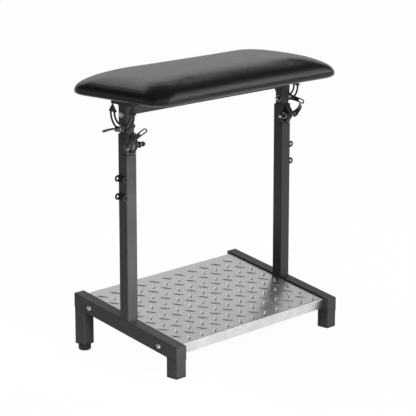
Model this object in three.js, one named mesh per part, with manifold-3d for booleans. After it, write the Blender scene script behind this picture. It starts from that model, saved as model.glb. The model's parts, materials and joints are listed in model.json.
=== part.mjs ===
// Tattoo armrest: two welded side frames carry an inclined tread-plate footrest, and two telescoping
// posts carry an upholstered pad that tilts on arrow-shaped quadrant plates.
// Units are millimetres and +Z is up. The user sits at -Y. The origin is on the floor, in the middle
// of the outline. A side of -1 is the left frame and +1 the right one. In a side's own group the
// outward direction runs from the post's centre plane away from the middle of the armrest.
import * as THREE from 'three';
import { mergeGeometries, mergeVertices } from 'three/addons/utils/BufferGeometryUtils.js';
import Module from 'manifold-3d';

const wasm = await Module();
wasm.setup();

// Clearances
const seam = 0.3; // joint line between pieces that touch, and radial play of a shank in its hole
const overrun = 5; // how far a cut runs past the wall that it goes through

// Side frames
const baseWidth = 624;
const baseDepth = 366;
const tubeWidth = 35;
const tubeCorner = 2.4;
const incline = THREE.MathUtils.degToRad(11);
const railTopHeight = 117; // above the floor, at the posts' axis
const railDepth = 37.3;
const railWall = 2;
const endPlateThickness = 2.5;
const legDepth = 35;
const legWall = 2;

// Feet
const capThickness = 4;
const capPlugHeight = 14;
const capPlugWall = 2.5;
const rearLegBottom = 21; // height of the rear legs' lower end above the floor
const insertFlange = 3;
const insertHeight = 18;
const footRadius = 16.5;
const footRound = 4;
const footStemRadius = 4;
const footStemLength = 52;

// Tread plate
const sheet = 2.5;
const treadDrop = 4; // plate top below the rail top
const treadFrontInset = 14;
const treadRearInset = 9;
const treadFlange = 28;
const treadBend = 4;
const lozengeColumnPitch = 48.5;
const lozengeRowPitch = 45;
const lozengeColumnOffset = -14.5; // where the pattern of the stock sheet falls
const lozengeRowOffset = 4;
const lozengeLength = 24;
const lozengeWidth = 7.5;
const lozengeHeight = 1.5;
const lozengeSink = 0.6;
const lozengeShoulderShare = 0.22;
const lozengeRidgeShare = 0.2;

// Frame bolts
const frameBoltInset = 56; // in from the rail's ends
const frameBoltRadius = 3;
const frameBoltHeadRadius = 7;
const frameBoltHeadHeight = 3.6;
const frameBoltTail = 7; // bolt end past the tray's side

// Outer posts and their split clamps
const postDepth = 30;
const postBelowPivot = 49; // from the tilt pivot down to the post's top
const postWall = 3;
const slideClearance = 0.5;
const slitWidth = 4;
const sawCutDepth = 51.5; // below the post's top
const sawCutWidth = 2;
const earThickness = 5;
const earReach = 16;
const earTopMargin = 2;
const earHeight = 46;
const earSlantReach = 11; // the ears' slanting ends, outward and upward
const earSlantRise = 15;
const clampBoltDrop = 28.5; // clamp bolt below the post's top
const clampBoltStandoff = 8.5; // clamp bolt in front of the post's face

// Eyelet brackets
const bracketDrops = [113, 159]; // centres below the post's top
const bracketHeight = 17;
const bracketSheet = 1.6;
const bracketReach = 12;
const eyeletRadius = 3.5;
const rivetHoleRadius = 2.3;

// Inner tubes and the crossbar that joins them
const innerWall = 2;
const innerCorner = 1.6;
const innerAbovePivot = 20;
const innerAboveRail = 106; // from the rail top up to the tube's lower end
const guideHeight = 24;
const guidePlug = 16;
const crossbarHeight = 22;
const crossbarWall = 2;
const crossbarBelowPivot = 2.5;

// Tilt pivot and quadrant plates
const pivotHeight = 643;
const pivotBoltRadius = 4;
const pivotHeadRadius = 7;
const pivotHeadHeight = 5;
const pivotBushRadius = 8;
const pivotBoltDepth = 20; // reach of the bolt into its bush
const plateThickness = 3;
const slotRadius = 34;
const slotWidth = 9;
const slotRim = 4;
const slotHalfAngle = THREE.MathUtils.degToRad(88);
const rimHalfAngle = THREE.MathUtils.degToRad(99);
const arrowHalfWidth = 14;
const arrowBarbDrop = 3;
const arrowBase = 6; // above the pivot
const arrowTip = 23;
const stemHalfWidth = 11.5;
const stemFillet = 6;
const bandHalfWidth = 38;
const bandHeight = 13;
const flangeDepth = 30;
const padScrewSpacing = 52;
const padScrewInset = 17;
const padScrewHoleRadius = 2.5;
const padScrewHoleDepth = 10; // into the board

// Pad
const padLength = 694;
const padWidth = 334;
const padAbovePivot = 37;
const padThickness = 64.5;
const padCorner = 50;
const padBulgeHeight = 8;
const padBottomInset = 6.5;
const padWaist = 5;
const padCrownInset = 162;
const padRoundShare = 0.85;
const padCrownPower = 2.15;
const padShoulderPower = 2.2;
const boardThickness = 12;
const boardInset = 22;
const boardCorner = 34;

// Quick-release clamps: the same bolt, cam and lever serve the posts and the tilt
const clampBoltRadius = 4;
const clampEyeRadius = 5;
const washerThickness = 1.5;
const washerRadius = 8.5;
const barrelRadius = 6.5;
const camRadius = 7.4;
const camOffset = 0.8;
const camPinRadius = 2.4;
const camPinProud = 1;
const leverRootWidth = 15;
const leverTipWidth = 12;
const leverThickness = 2.6;
const loopBar = 2.6;
const loopLength = 18;
const postLeverLength = 68;
const postLeverBow = 5;
const tiltLeverLength = 52.5;
const tiltLeverBow = 2.5;
const nutRadius = 6.4;
const nutChamfer = 1.2;
const nutLengths = { post: 15, tilt: 7 };
const boltTail = 3; // bolt end past its nut
const postSpacerLength = 10;
const postBarrelLength = 9;
const tiltBarrelLength = 2;

// Round pieces
const roundSides = 16;
const smallSides = 12;

// Sizes worked out from the ones above
const postTop = pivotHeight - postBelowPivot;
const innerTop = pivotHeight + innerAbovePivot;
const crossbarBottom = pivotHeight - crossbarBelowPivot;
const padBottom = pivotHeight + padAbovePivot;
const frameBoltSpacing = baseDepth - 2 * frameBoltInset;
const postAxis = baseWidth / 2 - tubeWidth / 2;
const innerWidth = tubeWidth - 2 * (postWall + slideClearance);
const innerDepth = postDepth - 2 * (postWall + slideClearance);
const innerBottom = railTopHeight + innerAboveRail;
const legAxis = (baseDepth - legDepth) / 2;
const railSlope = Math.tan(incline);
const treadHalfWidth = baseWidth / 2 - tubeWidth - seam;
const tiltBoltHeight = pivotHeight - slotRadius;
const clampBoltY = -postDepth / 2 - clampBoltStandoff;
const clampBoltHeight = postTop - clampBoltDrop;
const earOuter = slitWidth / 2 + earThickness;
const plateInner = innerWidth / 2 + seam;
const plateOuter = plateInner + plateThickness;
const tiltPinReach = plateOuter + washerThickness + tiltBarrelLength + camRadius + camOffset + 3 * seam;
const postPinReach = earOuter + washerThickness + postBarrelLength + camRadius + camOffset + 3 * seam;

// Poses seen in the photograph: how far each lever stands open, and where it points when closed
const postLeverOpen = THREE.MathUtils.degToRad(-30);
const postLeverRise = { left: THREE.MathUtils.degToRad(50), right: THREE.MathUtils.degToRad(37) };
const tiltLeverOpen = { left: THREE.MathUtils.degToRad(90), right: 0 };
const tiltLeverRise = { left: THREE.MathUtils.degToRad(-90), right: THREE.MathUtils.degToRad(-11) };

// The left tilt lever stands open and is the outermost piece there: this centres the outline
const outlineShift = (postAxis + tiltPinReach + tiltLeverLength - padLength / 2) / 2;

const paint = new THREE.MeshStandardMaterial({ color: 0x2b2c2e, roughness: 0.45, metalness: 0.35 });
const zinc = new THREE.MeshStandardMaterial({ color: 0xc9cbcc, roughness: 0.3, metalness: 0.9 });
const galvanised = new THREE.MeshStandardMaterial({ color: 0xb4b6b7, roughness: 0.35, metalness: 0.85 });
const blackPlastic = new THREE.MeshStandardMaterial({ color: 0x151516, roughness: 0.5, metalness: 0 });
const blackSteel = new THREE.MeshStandardMaterial({ color: 0x1b1b1c, roughness: 0.38, metalness: 0.6 });
const leather = new THREE.MeshStandardMaterial({ color: 0x1a1a1b, roughness: 0.4, metalness: 0 });
const plywood = new THREE.MeshStandardMaterial({ color: 0x8a6a45, roughness: 0.8, metalness: 0 });

function solid(geometry) {
  const bare = geometry.index ? geometry.clone() : geometry;
  bare.deleteAttribute('normal');
  bare.deleteAttribute('uv');
  const merged = mergeVertices(bare);
  return new wasm.Manifold(
    new wasm.Mesh({
      numProp: 3,
      vertProperties: new Float32Array(merged.attributes.position.array),
      triVerts: new Uint32Array(merged.index.array),
    }),
  );
}

function surface(manifold) {
  const { vertProperties, triVerts } = manifold.getMesh();
  const geometry = new THREE.BufferGeometry();
  geometry.setAttribute('position', new THREE.BufferAttribute(vertProperties, 3));
  geometry.setIndex(new THREE.BufferAttribute(triVerts, 1));
  geometry.computeVertexNormals();
  return geometry;
}

function piece(parent, name, shape, material, place) {
  const geometry = shape.isBufferGeometry ? shape : surface(shape);
  const mesh = new THREE.Mesh(geometry, material.clone());
  mesh.name = name;
  if (place) mesh.position.copy(place);
  parent.add(mesh);
  return mesh;
}

function group(parent, x = 0, y = 0, z = 0) {
  const made = new THREE.Group();
  made.position.set(x, y, z);
  parent.add(made);
  return made;
}

function extrude(shape, depth, curveSegments) {
  return new THREE.ExtrudeGeometry(shape, { depth, bevelEnabled: false, curveSegments });
}

// A box between two opposite corners
function block(x0, x1, y0, y1, z0, z1) {
  const box = new THREE.BoxGeometry(x1 - x0, y1 - y0, z1 - z0);
  return box.translate((x0 + x1) / 2, (y0 + y1) / 2, (z0 + z1) / 2);
}

// A cylinder between two stations of the Y axis
function rod(radius, y0, y1, sides = roundSides) {
  return new THREE.CylinderGeometry(radius, radius, y1 - y0, sides).translate(0, (y0 + y1) / 2, 0);
}

// A turned piece about the Y axis from [radius, station] pairs
function turned(profile, sides = roundSides) {
  return new THREE.LatheGeometry(profile.map(([r, y]) => new THREE.Vector2(r, y)), sides);
}

// A washer or sleeve between two stations of the Y axis
function sleeve(bore, radius, y0, y1, sides = roundSides) {
  return turned([[bore, y0], [radius, y0], [radius, y1], [bore, y1], [bore, y0]], sides);
}

function roundedRect(width, depth, corner, Kind = THREE.Shape) {
  const path = new Kind();
  const [x, y] = [width / 2, depth / 2];
  if (corner <= 0) {
    path.moveTo(-x, -y).lineTo(x, -y).lineTo(x, y).lineTo(-x, y).closePath();
    return path;
  }
  const quarter = Math.PI / 2;
  path.absarc(x - corner, -y + corner, corner, -quarter, 0);
  path.absarc(x - corner, y - corner, corner, 0, quarter);
  path.absarc(-x + corner, y - corner, corner, quarter, 2 * quarter);
  path.absarc(-x + corner, -y + corner, corner, 2 * quarter, 3 * quarter);
  path.closePath();
  return path;
}

// A rectangular tube standing on the XY plane
function tube(width, depth, wall, corner, length) {
  const section = roundedRect(width, depth, corner);
  section.holes.push(roundedRect(width - 2 * wall, depth - 2 * wall, corner - wall, THREE.Path));
  return solid(extrude(section, length, 2));
}

// A bar along X, for cross holes
function crossDrill(radius, y, z, halfLength, sides = roundSides) {
  return solid(rod(radius, -halfLength, halfLength, sides).rotateZ(Math.PI / 2).translate(0, y, z));
}

const inclined = (y) => railTopHeight + railSlope * y;

// A slab in the rails' inclined frame, from one depth under the rail top to another
function inclinedSlab(lower, upper) {
  const slab = block(-baseWidth, baseWidth, -baseDepth, baseDepth, lower, upper);
  return solid(slab.rotateX(incline).translate(0, 0, railTopHeight));
}

const armrest = new THREE.Group();
armrest.position.x = outlineShift;

const bothSides = [-1, 1];
const sideName = (side) => (side < 0 ? 'left' : 'right');

// Side frame: an inclined rail with upright closed ends, over two legs
function rail() {
  const longer = baseDepth + 2 * railDepth;
  const bar = (inset, end) => solid(
    extrude(roundedRect(tubeWidth - 2 * inset, railDepth - 2 * inset, tubeCorner - inset), longer, 2)
      .rotateX(Math.PI / 2)
      .translate(0, longer / 2, -railDepth / 2)
      .rotateX(incline)
      .translate(0, 0, railTopHeight),
  ).intersect(solid(block(-tubeWidth, tubeWidth, end - baseDepth / 2, baseDepth / 2 - end, 0, innerTop)));
  return railBoltPlaces().reduce(
    (body, { y, z }) => body.subtract(crossDrill(frameBoltRadius + seam, y, z, tubeWidth, smallSides)),
    bar(0, 0).subtract(bar(railWall, endPlateThickness)),
  );
}

function railBoltPlaces() {
  return [-1, 1].map((end) => {
    const along = (end * frameBoltSpacing) / 2;
    const below = railDepth / 2;
    return {
      y: along * Math.cos(incline) + below * Math.sin(incline),
      z: railTopHeight + along * Math.sin(incline) - below * Math.cos(incline),
    };
  });
}

function leg(end, bottom) {
  const post = tube(tubeWidth, legDepth, legWall, tubeCorner, railTopHeight * 2)
    .translate([0, end * legAxis, bottom]);
  return post.subtract(inclinedSlab(-railDepth - seam, 4 * railTopHeight));
}

// Front leg cap: a flange under the tube and a hollow plug inside it
function legCap() {
  const flange = solid(extrude(roundedRect(tubeWidth, legDepth, tubeCorner), capThickness, 3));
  const inset = 2 * (legWall + seam);
  const plug = tube(tubeWidth - inset, legDepth - inset, capPlugWall, 0, capThickness + capPlugHeight);
  return flange.add(plug);
}

// Rear leg insert: a flange under the tube, a plug inside it and a bore for the foot's stem
function legInsert() {
  const inset = 2 * (legWall + seam);
  const flange = solid(extrude(roundedRect(tubeWidth, legDepth, tubeCorner), insertFlange, 3));
  const plug = solid(extrude(roundedRect(tubeWidth - inset, legDepth - inset, 0), insertHeight, 3));
  const bore = rod(footStemRadius + seam, -overrun, insertHeight + overrun).rotateX(Math.PI / 2);
  return flange.add(plug).subtract(solid(bore));
}

// Levelling foot: a round base with a threaded stem
function foot() {
  const top = rearLegBottom - insertFlange - 2 * seam;
  const round = Array.from({ length: 4 }, (_, k) => {
    const turn = (k * Math.PI) / 6;
    return [footRadius - footRound * (1 - Math.sin(turn)), footRound * (1 - Math.cos(turn))];
  });
  const profile = [
    [0, 0],
    ...round,
    [footRadius, top - footRound / 2],
    [footRadius - footRound / 2, top],
    [footStemRadius, top],
    [footStemRadius, footStemLength],
    [0, footStemLength],
  ];
  return turned(profile, roundSides).rotateX(Math.PI / 2);
}

// Outer post: stands on the rail, slit down its front face and sawn across below the clamp, whose
// two ears are welded to the free flaps
function outerPost() {
  const cut = postTop - sawCutDepth;
  const body = tube(tubeWidth, postDepth, postWall, tubeCorner, postTop);
  const slit = block(-slitWidth / 2, slitWidth / 2, -postDepth, 0, cut, postTop + overrun);
  const saw = block(-tubeWidth, tubeWidth, -postDepth, 0, cut - sawCutWidth, cut);
  return body
    .subtract(inclinedSlab(-2 * postTop, seam))
    .subtract(solid(slit))
    .subtract(solid(saw))
    .add(clampEar(slitWidth / 2))
    .add(clampEar(-slitWidth / 2 - earThickness));
}

// Clamp ear: a plate with slanting ends on the post's front face, beside the slit
function clampEar(x) {
  const top = postTop - earTopMargin;
  const low = top - earHeight;
  const root = -postDepth / 2 + postWall / 2;
  const tip = -postDepth / 2 - earReach;
  const outline = new THREE.Shape()
    .moveTo(root, low)
    .lineTo(root, top)
    .lineTo(tip + earSlantReach, top)
    .lineTo(tip, top - earSlantRise)
    .lineTo(tip, low + earSlantRise)
    .lineTo(tip + earSlantReach, low);
  const hole = new THREE.Path().absarc(clampBoltY, clampBoltHeight, clampBoltRadius + seam, 0, 2 * Math.PI);
  outline.holes.push(hole);
  return solid(extrude(outline, earThickness, 5).rotateX(Math.PI / 2).rotateZ(Math.PI / 2).translate(x, 0, 0));
}

// Eyelet bracket: a small channel on the post's outer face, with a hole in each flange
function eyeletBracket(side, height) {
  const web = tubeWidth / 2 + seam;
  const reach = web + bracketReach;
  const half = postDepth / 2;
  const channel = new THREE.Shape()
    .moveTo(web, -half)
    .lineTo(reach, -half)
    .lineTo(reach, -half + bracketSheet)
    .lineTo(web + bracketSheet, -half + bracketSheet)
    .lineTo(web + bracketSheet, half - bracketSheet)
    .lineTo(reach, half - bracketSheet)
    .lineTo(reach, half)
    .lineTo(web, half);
  const body = solid(extrude(channel, bracketHeight, 3)).translate([0, 0, -bracketHeight / 2]);
  const nose = new THREE.Shape()
    .moveTo(0, -bracketHeight)
    .lineTo(reach - bracketHeight / 2, -bracketHeight / 2)
    .absarc(reach - bracketHeight / 2, 0, bracketHeight / 2, -Math.PI / 2, Math.PI / 2)
    .lineTo(0, bracketHeight);
  const eye = new THREE.Path().absarc(reach - bracketHeight / 2, 0, eyeletRadius, 0, 2 * Math.PI);
  nose.holes.push(eye);
  const envelope = solid(extrude(nose, 2 * postDepth, 5).rotateX(Math.PI / 2).translate(0, postDepth, 0));
  const rivetHole = crossDrill(rivetHoleRadius, 0, 0, reach, smallSides);
  const shaped = body.intersect(envelope).subtract(rivetHole);
  return side > 0 ? shaped.translate([0, 0, height]) : shaped.rotate([0, 0, 180]).translate([0, 0, height]);
}

// Tread plate: a folded tray, open below, with raised lozenges rolled into its top
function treadPlate() {
  const front = -(baseDepth / 2 - treadFrontInset) / Math.cos(incline);
  const rear = (baseDepth / 2 - treadRearInset) / Math.cos(incline);
  const top = -treadDrop * Math.cos(incline);
  const low = top - treadFlange;
  const tray = (inset, bottom, bend, halfWidth) => {
    const [y0, y1, z1] = [front + inset, rear - inset, top - inset];
    const outline = new THREE.Shape()
      .moveTo(y0, bottom)
      .lineTo(y1, bottom)
      .absarc(y1 - bend, z1 - bend, bend, 0, Math.PI / 2)
      .absarc(y0 + bend, z1 - bend, bend, Math.PI / 2, Math.PI);
    const body = extrude(outline, 2 * halfWidth, 4).rotateX(Math.PI / 2).rotateZ(Math.PI / 2);
    return solid(body.translate(-halfWidth, 0, 0));
  };
  let body = tray(0, low, treadBend, treadHalfWidth)
    .subtract(tray(sheet, low - overrun, treadBend - sheet, treadHalfWidth - sheet));
  for (const end of [-1, 1]) {
    const y = (end * frameBoltSpacing) / 2;
    const z = -railDepth / 2;
    body = body.subtract(crossDrill(frameBoltRadius + seam, y, z, baseWidth, smallSides));
  }
  return body.add(solid(lozenges(front + treadBend, rear - treadBend, top)));
}

// Lozenges stand in two crossed families: one on the lattice, the other in its cells' middles
function lozenges(front, rear, top) {
  const reach = lozengeLength / 2;
  const columns = Math.ceil(treadHalfWidth / lozengeColumnPitch);
  const rows = Math.ceil(rear / lozengeRowPitch);
  const made = [];
  for (let i = -columns; i <= columns; i += 1) {
    for (let j = -rows; j <= rows; j += 1) {
      for (const [half, turn] of [[0, -1], [0.5, 1]]) {
        const x = lozengeColumnOffset + (i + half) * lozengeColumnPitch;
        const y = lozengeRowOffset + (j + half) * lozengeRowPitch;
        const inside = Math.abs(x) < treadHalfWidth - reach && y > front + reach && y < rear - reach;
        if (inside) made.push(lozenge().rotateZ((turn * Math.PI) / 4).translate(x, y, top));
      }
    }
  }
  return mergeGeometries(made);
}

// One lozenge: a pointed footprint that rises to a short ridge
function lozenge() {
  const tip = lozengeLength / 2;
  const shoulder = lozengeLength * lozengeShoulderShare;
  const ridge = lozengeLength * lozengeRidgeShare;
  const side = lozengeWidth / 2;
  const rim = [[tip, 0], [shoulder, side], [-shoulder, side], [-tip, 0], [-shoulder, -side], [shoulder, -side]];
  const points = rim.map(([x, y]) => new THREE.Vector3(x, y, -lozengeSink));
  points.push(new THREE.Vector3(ridge, 0, lozengeHeight), new THREE.Vector3(-ridge, 0, lozengeHeight));
  const [fore, back] = [6, 7];
  const geometry = new THREE.BufferGeometry().setFromPoints(points);
  geometry.setIndex([
    0, 1, fore, 1, back, fore, 1, 2, back, 2, 3, back, 3, 4, back, 4, fore, back, 4, 5, fore, 5, 0, fore,
    0, 2, 1, 0, 3, 2, 0, 4, 3, 0, 5, 4,
  ]);
  return geometry;
}

// A dome-headed frame bolt through the rail and the tray's side, its head outward
function frameBolt(side, { y, z }) {
  const face = tubeWidth / 2 + seam;
  const tip = -tubeWidth / 2 - sheet - frameBoltTail;
  const dome = [0.25, 0.5, 0.75, 1].map((share) => [
    frameBoltHeadRadius * Math.cos((share * Math.PI) / 2) * 0.999,
    face + frameBoltHeadHeight * Math.sin((share * Math.PI) / 2),
  ]);
  dome[dome.length - 1][0] = 0;
  const profile = [[0, tip], [frameBoltRadius, tip], [frameBoltRadius, face], [frameBoltHeadRadius, face], ...dome];
  return turned(profile, smallSides).rotateZ((-side * Math.PI) / 2).translate(0, y, z);
}

for (const side of bothSides) {
  const name = sideName(side);
  const frame = group(armrest, side * postAxis);
  piece(frame, `${name}_side_rail`, rail(), paint);
  piece(frame, `${name}_front_leg`, leg(-1, capThickness + seam), paint);
  piece(frame, `${name}_rear_leg`, leg(1, rearLegBottom), paint);
  piece(frame, `${name}_front_leg_cap`, legCap(), blackPlastic, new THREE.Vector3(0, -legAxis, 0));
  const insertBase = rearLegBottom - insertFlange - seam;
  piece(frame, `${name}_rear_leg_insert`, legInsert(), blackPlastic, new THREE.Vector3(0, legAxis, insertBase));
  piece(frame, `${name}_levelling_foot`, foot(), blackPlastic, new THREE.Vector3(0, legAxis, 0));
  piece(frame, `${name}_outer_post`, outerPost(), paint);
  bracketDrops.forEach((drop, k) => {
    const level = k ? 'lower' : 'upper';
    piece(frame, `${name}_${level}_eyelet_bracket`, eyeletBracket(side, postTop - drop), paint);
  });
  railBoltPlaces().forEach((place, k) => {
    const end = k ? 'rear' : 'front';
    piece(frame, `${name}_${end}_frame_bolt`, frameBolt(side, place), zinc);
  });
}

const treadGroup = group(armrest, 0, 0, railTopHeight);
treadGroup.rotation.x = incline;
piece(treadGroup, 'tread_plate', treadPlate(), galvanised);

// Inner tube: a pivot bush is welded across its head, and the tilt clamp's bolt crosses it below
function innerTube() {
  return tube(innerWidth, innerDepth, innerWall, innerCorner, innerTop - innerBottom)
    .translate([0, 0, innerBottom])
    .add(crossDrill(pivotBushRadius, 0, pivotHeight, innerWidth / 2))
    .subtract(crossDrill(pivotBoltRadius + seam, 0, pivotHeight, innerWidth))
    .subtract(crossDrill(clampBoltRadius + seam, 0, tiltBoltHeight, innerWidth));
}

// Guide: a plastic block under the inner tube that slides in the post, with a plug in the tube
function guide() {
  const play = 2 * (postWall + seam);
  const shoe = extrude(roundedRect(tubeWidth - play, postDepth - play, 0), guideHeight, 3);
  const inset = 2 * (innerWall + seam);
  const plug = extrude(roundedRect(innerWidth - inset, innerDepth - inset, 0), guidePlug, 3);
  const base = innerBottom - seam - guideHeight;
  return solid(shoe.translate(0, 0, base)).add(solid(plug.translate(0, 0, base + guideHeight - seam)));
}

function crossbar() {
  const length = 2 * (postAxis - innerWidth / 2 - seam);
  return tube(crossbarHeight, innerDepth, crossbarWall, innerCorner, length)
    .rotate([0, 90, 0])
    .translate([-length / 2, 0, crossbarBottom + crossbarHeight / 2]);
}

function pivotBolt() {
  const face = plateOuter + seam;
  return turned([
    [0, plateOuter - pivotBoltDepth],
    [pivotBoltRadius, plateOuter - pivotBoltDepth],
    [pivotBoltRadius, face],
    [pivotHeadRadius, face],
    [pivotHeadRadius, face + pivotHeadHeight / 2],
    [pivotHeadRadius - pivotHeadHeight / 2, face + pivotHeadHeight],
    [0, face + pivotHeadHeight],
  ]);
}

// Quadrant plate, drawn about the pivot with Y to the right and Z up: a slotted arc that ends in two
// arrowheads, a stem from the pivot and a band under the pad, folded inward as a flange
function quadrantPlate(side) {
  const arc = (inner, outer, halfAngle) => {
    const down = -Math.PI / 2;
    return new THREE.Shape()
      .absarc(0, 0, outer, down - halfAngle, down + halfAngle)
      .absarc(0, 0, inner, down + halfAngle, down - halfAngle, true);
  };
  const flat = (shape) => solid(extrude(shape, plateThickness, 12));
  const rimInner = slotRadius - slotWidth / 2 - slotRim;
  const rimOuter = slotRadius + slotWidth / 2 + slotRim;
  const bandTop = padBottom - pivotHeight - seam;
  const bandLow = bandTop - bandHeight;
  const stem = new THREE.Shape()
    .moveTo(-stemHalfWidth, -rimInner - slotRim / 2)
    .lineTo(stemHalfWidth, -rimInner - slotRim / 2)
    .lineTo(stemHalfWidth, bandLow - stemFillet)
    .quadraticCurveTo(stemHalfWidth, bandLow, stemHalfWidth + stemFillet, bandLow)
    .lineTo(bandHalfWidth, bandLow)
    .lineTo(bandHalfWidth, bandTop)
    .lineTo(-bandHalfWidth, bandTop)
    .lineTo(-bandHalfWidth, bandLow)
    .lineTo(-stemHalfWidth - stemFillet, bandLow)
    .quadraticCurveTo(-stemHalfWidth, bandLow, -stemHalfWidth, bandLow - stemFillet);
  const arrow = (end) => new THREE.Shape()
    .moveTo(end * slotRadius, arrowBase)
    .lineTo(end * (slotRadius - arrowHalfWidth), arrowBase - arrowBarbDrop)
    .lineTo(end * slotRadius, Math.max(arrowTip, bandLow + seam))
    .lineTo(end * (slotRadius + arrowHalfWidth), arrowBase - arrowBarbDrop);
  let body = flat(arc(rimInner, rimOuter, rimHalfAngle)).add(flat(stem));
  body = body.add(flat(arrow(-1))).add(flat(arrow(1)));
  const through = (shape) => solid(extrude(shape, plateThickness + 2 * overrun, 12).translate(0, 0, -overrun));
  body = body.subtract(through(arc(slotRadius - slotWidth / 2, slotRadius + slotWidth / 2, slotHalfAngle)));
  for (const end of [-1, 1]) {
    const angle = -Math.PI / 2 + end * slotHalfAngle;
    const [y, z] = [slotRadius * Math.cos(angle), slotRadius * Math.sin(angle)];
    body = body.subtract(through(new THREE.Shape().absarc(y, z, slotWidth / 2, 0, 2 * Math.PI)));
  }
  body = body.subtract(through(new THREE.Shape().absarc(0, 0, pivotBoltRadius + seam, 0, 2 * Math.PI)));
  const flange = block(-bandHalfWidth, bandHalfWidth, bandTop - plateThickness, bandTop,
    plateThickness - flangeDepth, plateThickness);
  body = body.add(solid(flange));
  for (const end of [-1, 1]) {
    const drill = rod(padScrewHoleRadius, 0, 2 * bandTop, smallSides)
      .translate((end * padScrewSpacing) / 2, 0, plateThickness - padScrewInset);
    body = body.subtract(solid(drill));
  }
  const upright = surface(body).rotateX(Math.PI / 2).rotateZ(Math.PI / 2);
  const placed = side > 0 ? upright : upright.rotateZ(Math.PI);
  return placed.translate(side * plateInner, 0, pivotHeight);
}

// A clamp's own frame: X points where the closed lever points, Y runs outward along the bolt and Z
// is the cam pin's direction. Its origin is on the bolt, in the post's centre plane.
function clampFrame(parent, side, y, z, rise) {
  const made = group(parent, 0, y, z);
  const closed = new THREE.Vector3(0, -Math.cos(rise), Math.sin(rise));
  const outward = new THREE.Vector3(side, 0, 0);
  const pin = new THREE.Vector3().crossVectors(closed, outward);
  made.quaternion.setFromRotationMatrix(new THREE.Matrix4().makeBasis(closed, outward, pin));
  return made;
}

// Clamp bolt from its threaded tail to the eye that holds the cam pin
function clampBolt(tail, pinReach) {
  const end = pinReach + clampEyeRadius;
  const shank = turned([
    [0, tail],
    [clampBoltRadius, tail],
    [clampBoltRadius, end - clampBoltRadius / 2],
    [clampBoltRadius / 2, end],
    [0, end],
  ]);
  const eye = rod(camPinRadius + seam, -overrun, overrun, smallSides).rotateX(Math.PI / 2);
  return solid(shank).subtract(solid(eye.translate(0, pinReach, 0)));
}

// Cam lever about its pin: an eccentric drum, and a bowed blade with a grip loop
function camLever(length, leverBow) {
  const bow = new THREE.Shape()
    .moveTo(0, -leverThickness / 2)
    .quadraticCurveTo(length / 2, 2 * leverBow - leverThickness / 2, length, -leverThickness / 2)
    .lineTo(length, leverThickness / 2)
    .quadraticCurveTo(length / 2, 2 * leverBow + leverThickness / 2, 0, leverThickness / 2);
  const strip = extrude(bow, leverRootWidth, 6).translate(0, 0, -leverRootWidth / 2);
  const waist = length / 2;
  const tip = leverTipWidth / 2;
  const root = leverRootWidth / 2;
  const plan = new THREE.Shape()
    .moveTo(0, -root)
    .lineTo(camRadius, -root)
    .quadraticCurveTo(waist / 2, -root, waist, -tip)
    .lineTo(length - tip, -tip)
    .absarc(length - tip, 0, tip, -Math.PI / 2, Math.PI / 2)
    .lineTo(waist, tip)
    .quadraticCurveTo(waist / 2, root, camRadius, root)
    .lineTo(0, root);
  const gap = tip - loopBar;
  const loop = new THREE.Path()
    .absarc(length - tip, 0, gap, -Math.PI / 2, Math.PI / 2)
    .absarc(length - tip - loopLength + 2 * gap, 0, gap, Math.PI / 2, (3 * Math.PI) / 2);
  plan.holes.push(loop);
  const height = 2 * leverBow + leverRootWidth;
  const blade = solid(strip)
    .intersect(solid(extrude(plan, height, 4).rotateX(Math.PI / 2).translate(0, height / 2, 0)));
  const drum = rod(camRadius, -root, root).rotateX(Math.PI / 2).translate(0, -camOffset, 0);
  const open = clampBoltRadius + 2 * seam;
  const eye = clampEyeRadius + 2 * seam;
  const far = camRadius + overrun;
  const lowerSlot = block(-far, far, -far, 0, -open, open);
  const upperSlot = block(-far, eye, -overrun, eye, -open, open);
  const pinHole = rod(camPinRadius + seam, -far, far, smallSides).rotateX(Math.PI / 2);
  return blade
    .add(solid(drum))
    .subtract(solid(lowerSlot))
    .subtract(solid(upperSlot))
    .subtract(solid(pinHole));
}

function camPin() {
  const half = leverRootWidth / 2 + camPinProud;
  return rod(camPinRadius, -half, half, smallSides).rotateX(Math.PI / 2);
}

function clampNut(start, length) {
  return turned([
    [clampBoltRadius + seam, start],
    [nutRadius, start],
    [nutRadius, start - length + nutChamfer],
    [nutRadius - nutChamfer, start - length],
    [clampBoltRadius + seam, start - length],
    [clampBoltRadius + seam, start],
  ].reverse(), roundSides);
}

// Post clamp: bolt, washers, spacer, barrel, adjusting nut and cam lever
function postClamp(parent, side) {
  const name = sideName(side);
  const frame = clampFrame(parent, side, clampBoltY, clampBoltHeight, postLeverRise[name]);
  const bore = clampBoltRadius + seam;
  const spacerStart = -earOuter - seam;
  const spacerEnd = spacerStart - postSpacerLength;
  const nutStart = spacerEnd - washerThickness - 2 * seam;
  const tail = nutStart - nutLengths.post - boltTail;
  const washer = earOuter + seam;
  const barrel = washer + washerThickness + seam;
  piece(frame, `${name}_post_clamp_bolt`, clampBolt(tail, postPinReach), zinc);
  piece(frame, `${name}_post_clamp_washer`, sleeve(bore, washerRadius, washer, washer + washerThickness), zinc);
  piece(frame, `${name}_post_clamp_spacer`, sleeve(bore, barrelRadius, spacerEnd, spacerStart), blackSteel);
  piece(frame, `${name}_post_clamp_barrel`, sleeve(bore, barrelRadius, barrel, barrel + postBarrelLength), blackSteel);
  piece(frame, `${name}_post_clamp_nut`, clampNut(nutStart, nutLengths.post), blackSteel);
  const lever = group(frame, 0, postPinReach);
  lever.rotation.z = postLeverOpen;
  piece(lever, `${name}_post_clamp_lever`, camLever(postLeverLength, postLeverBow), blackSteel);
  piece(lever, `${name}_post_lever_pin`, camPin(), zinc);
}

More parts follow.
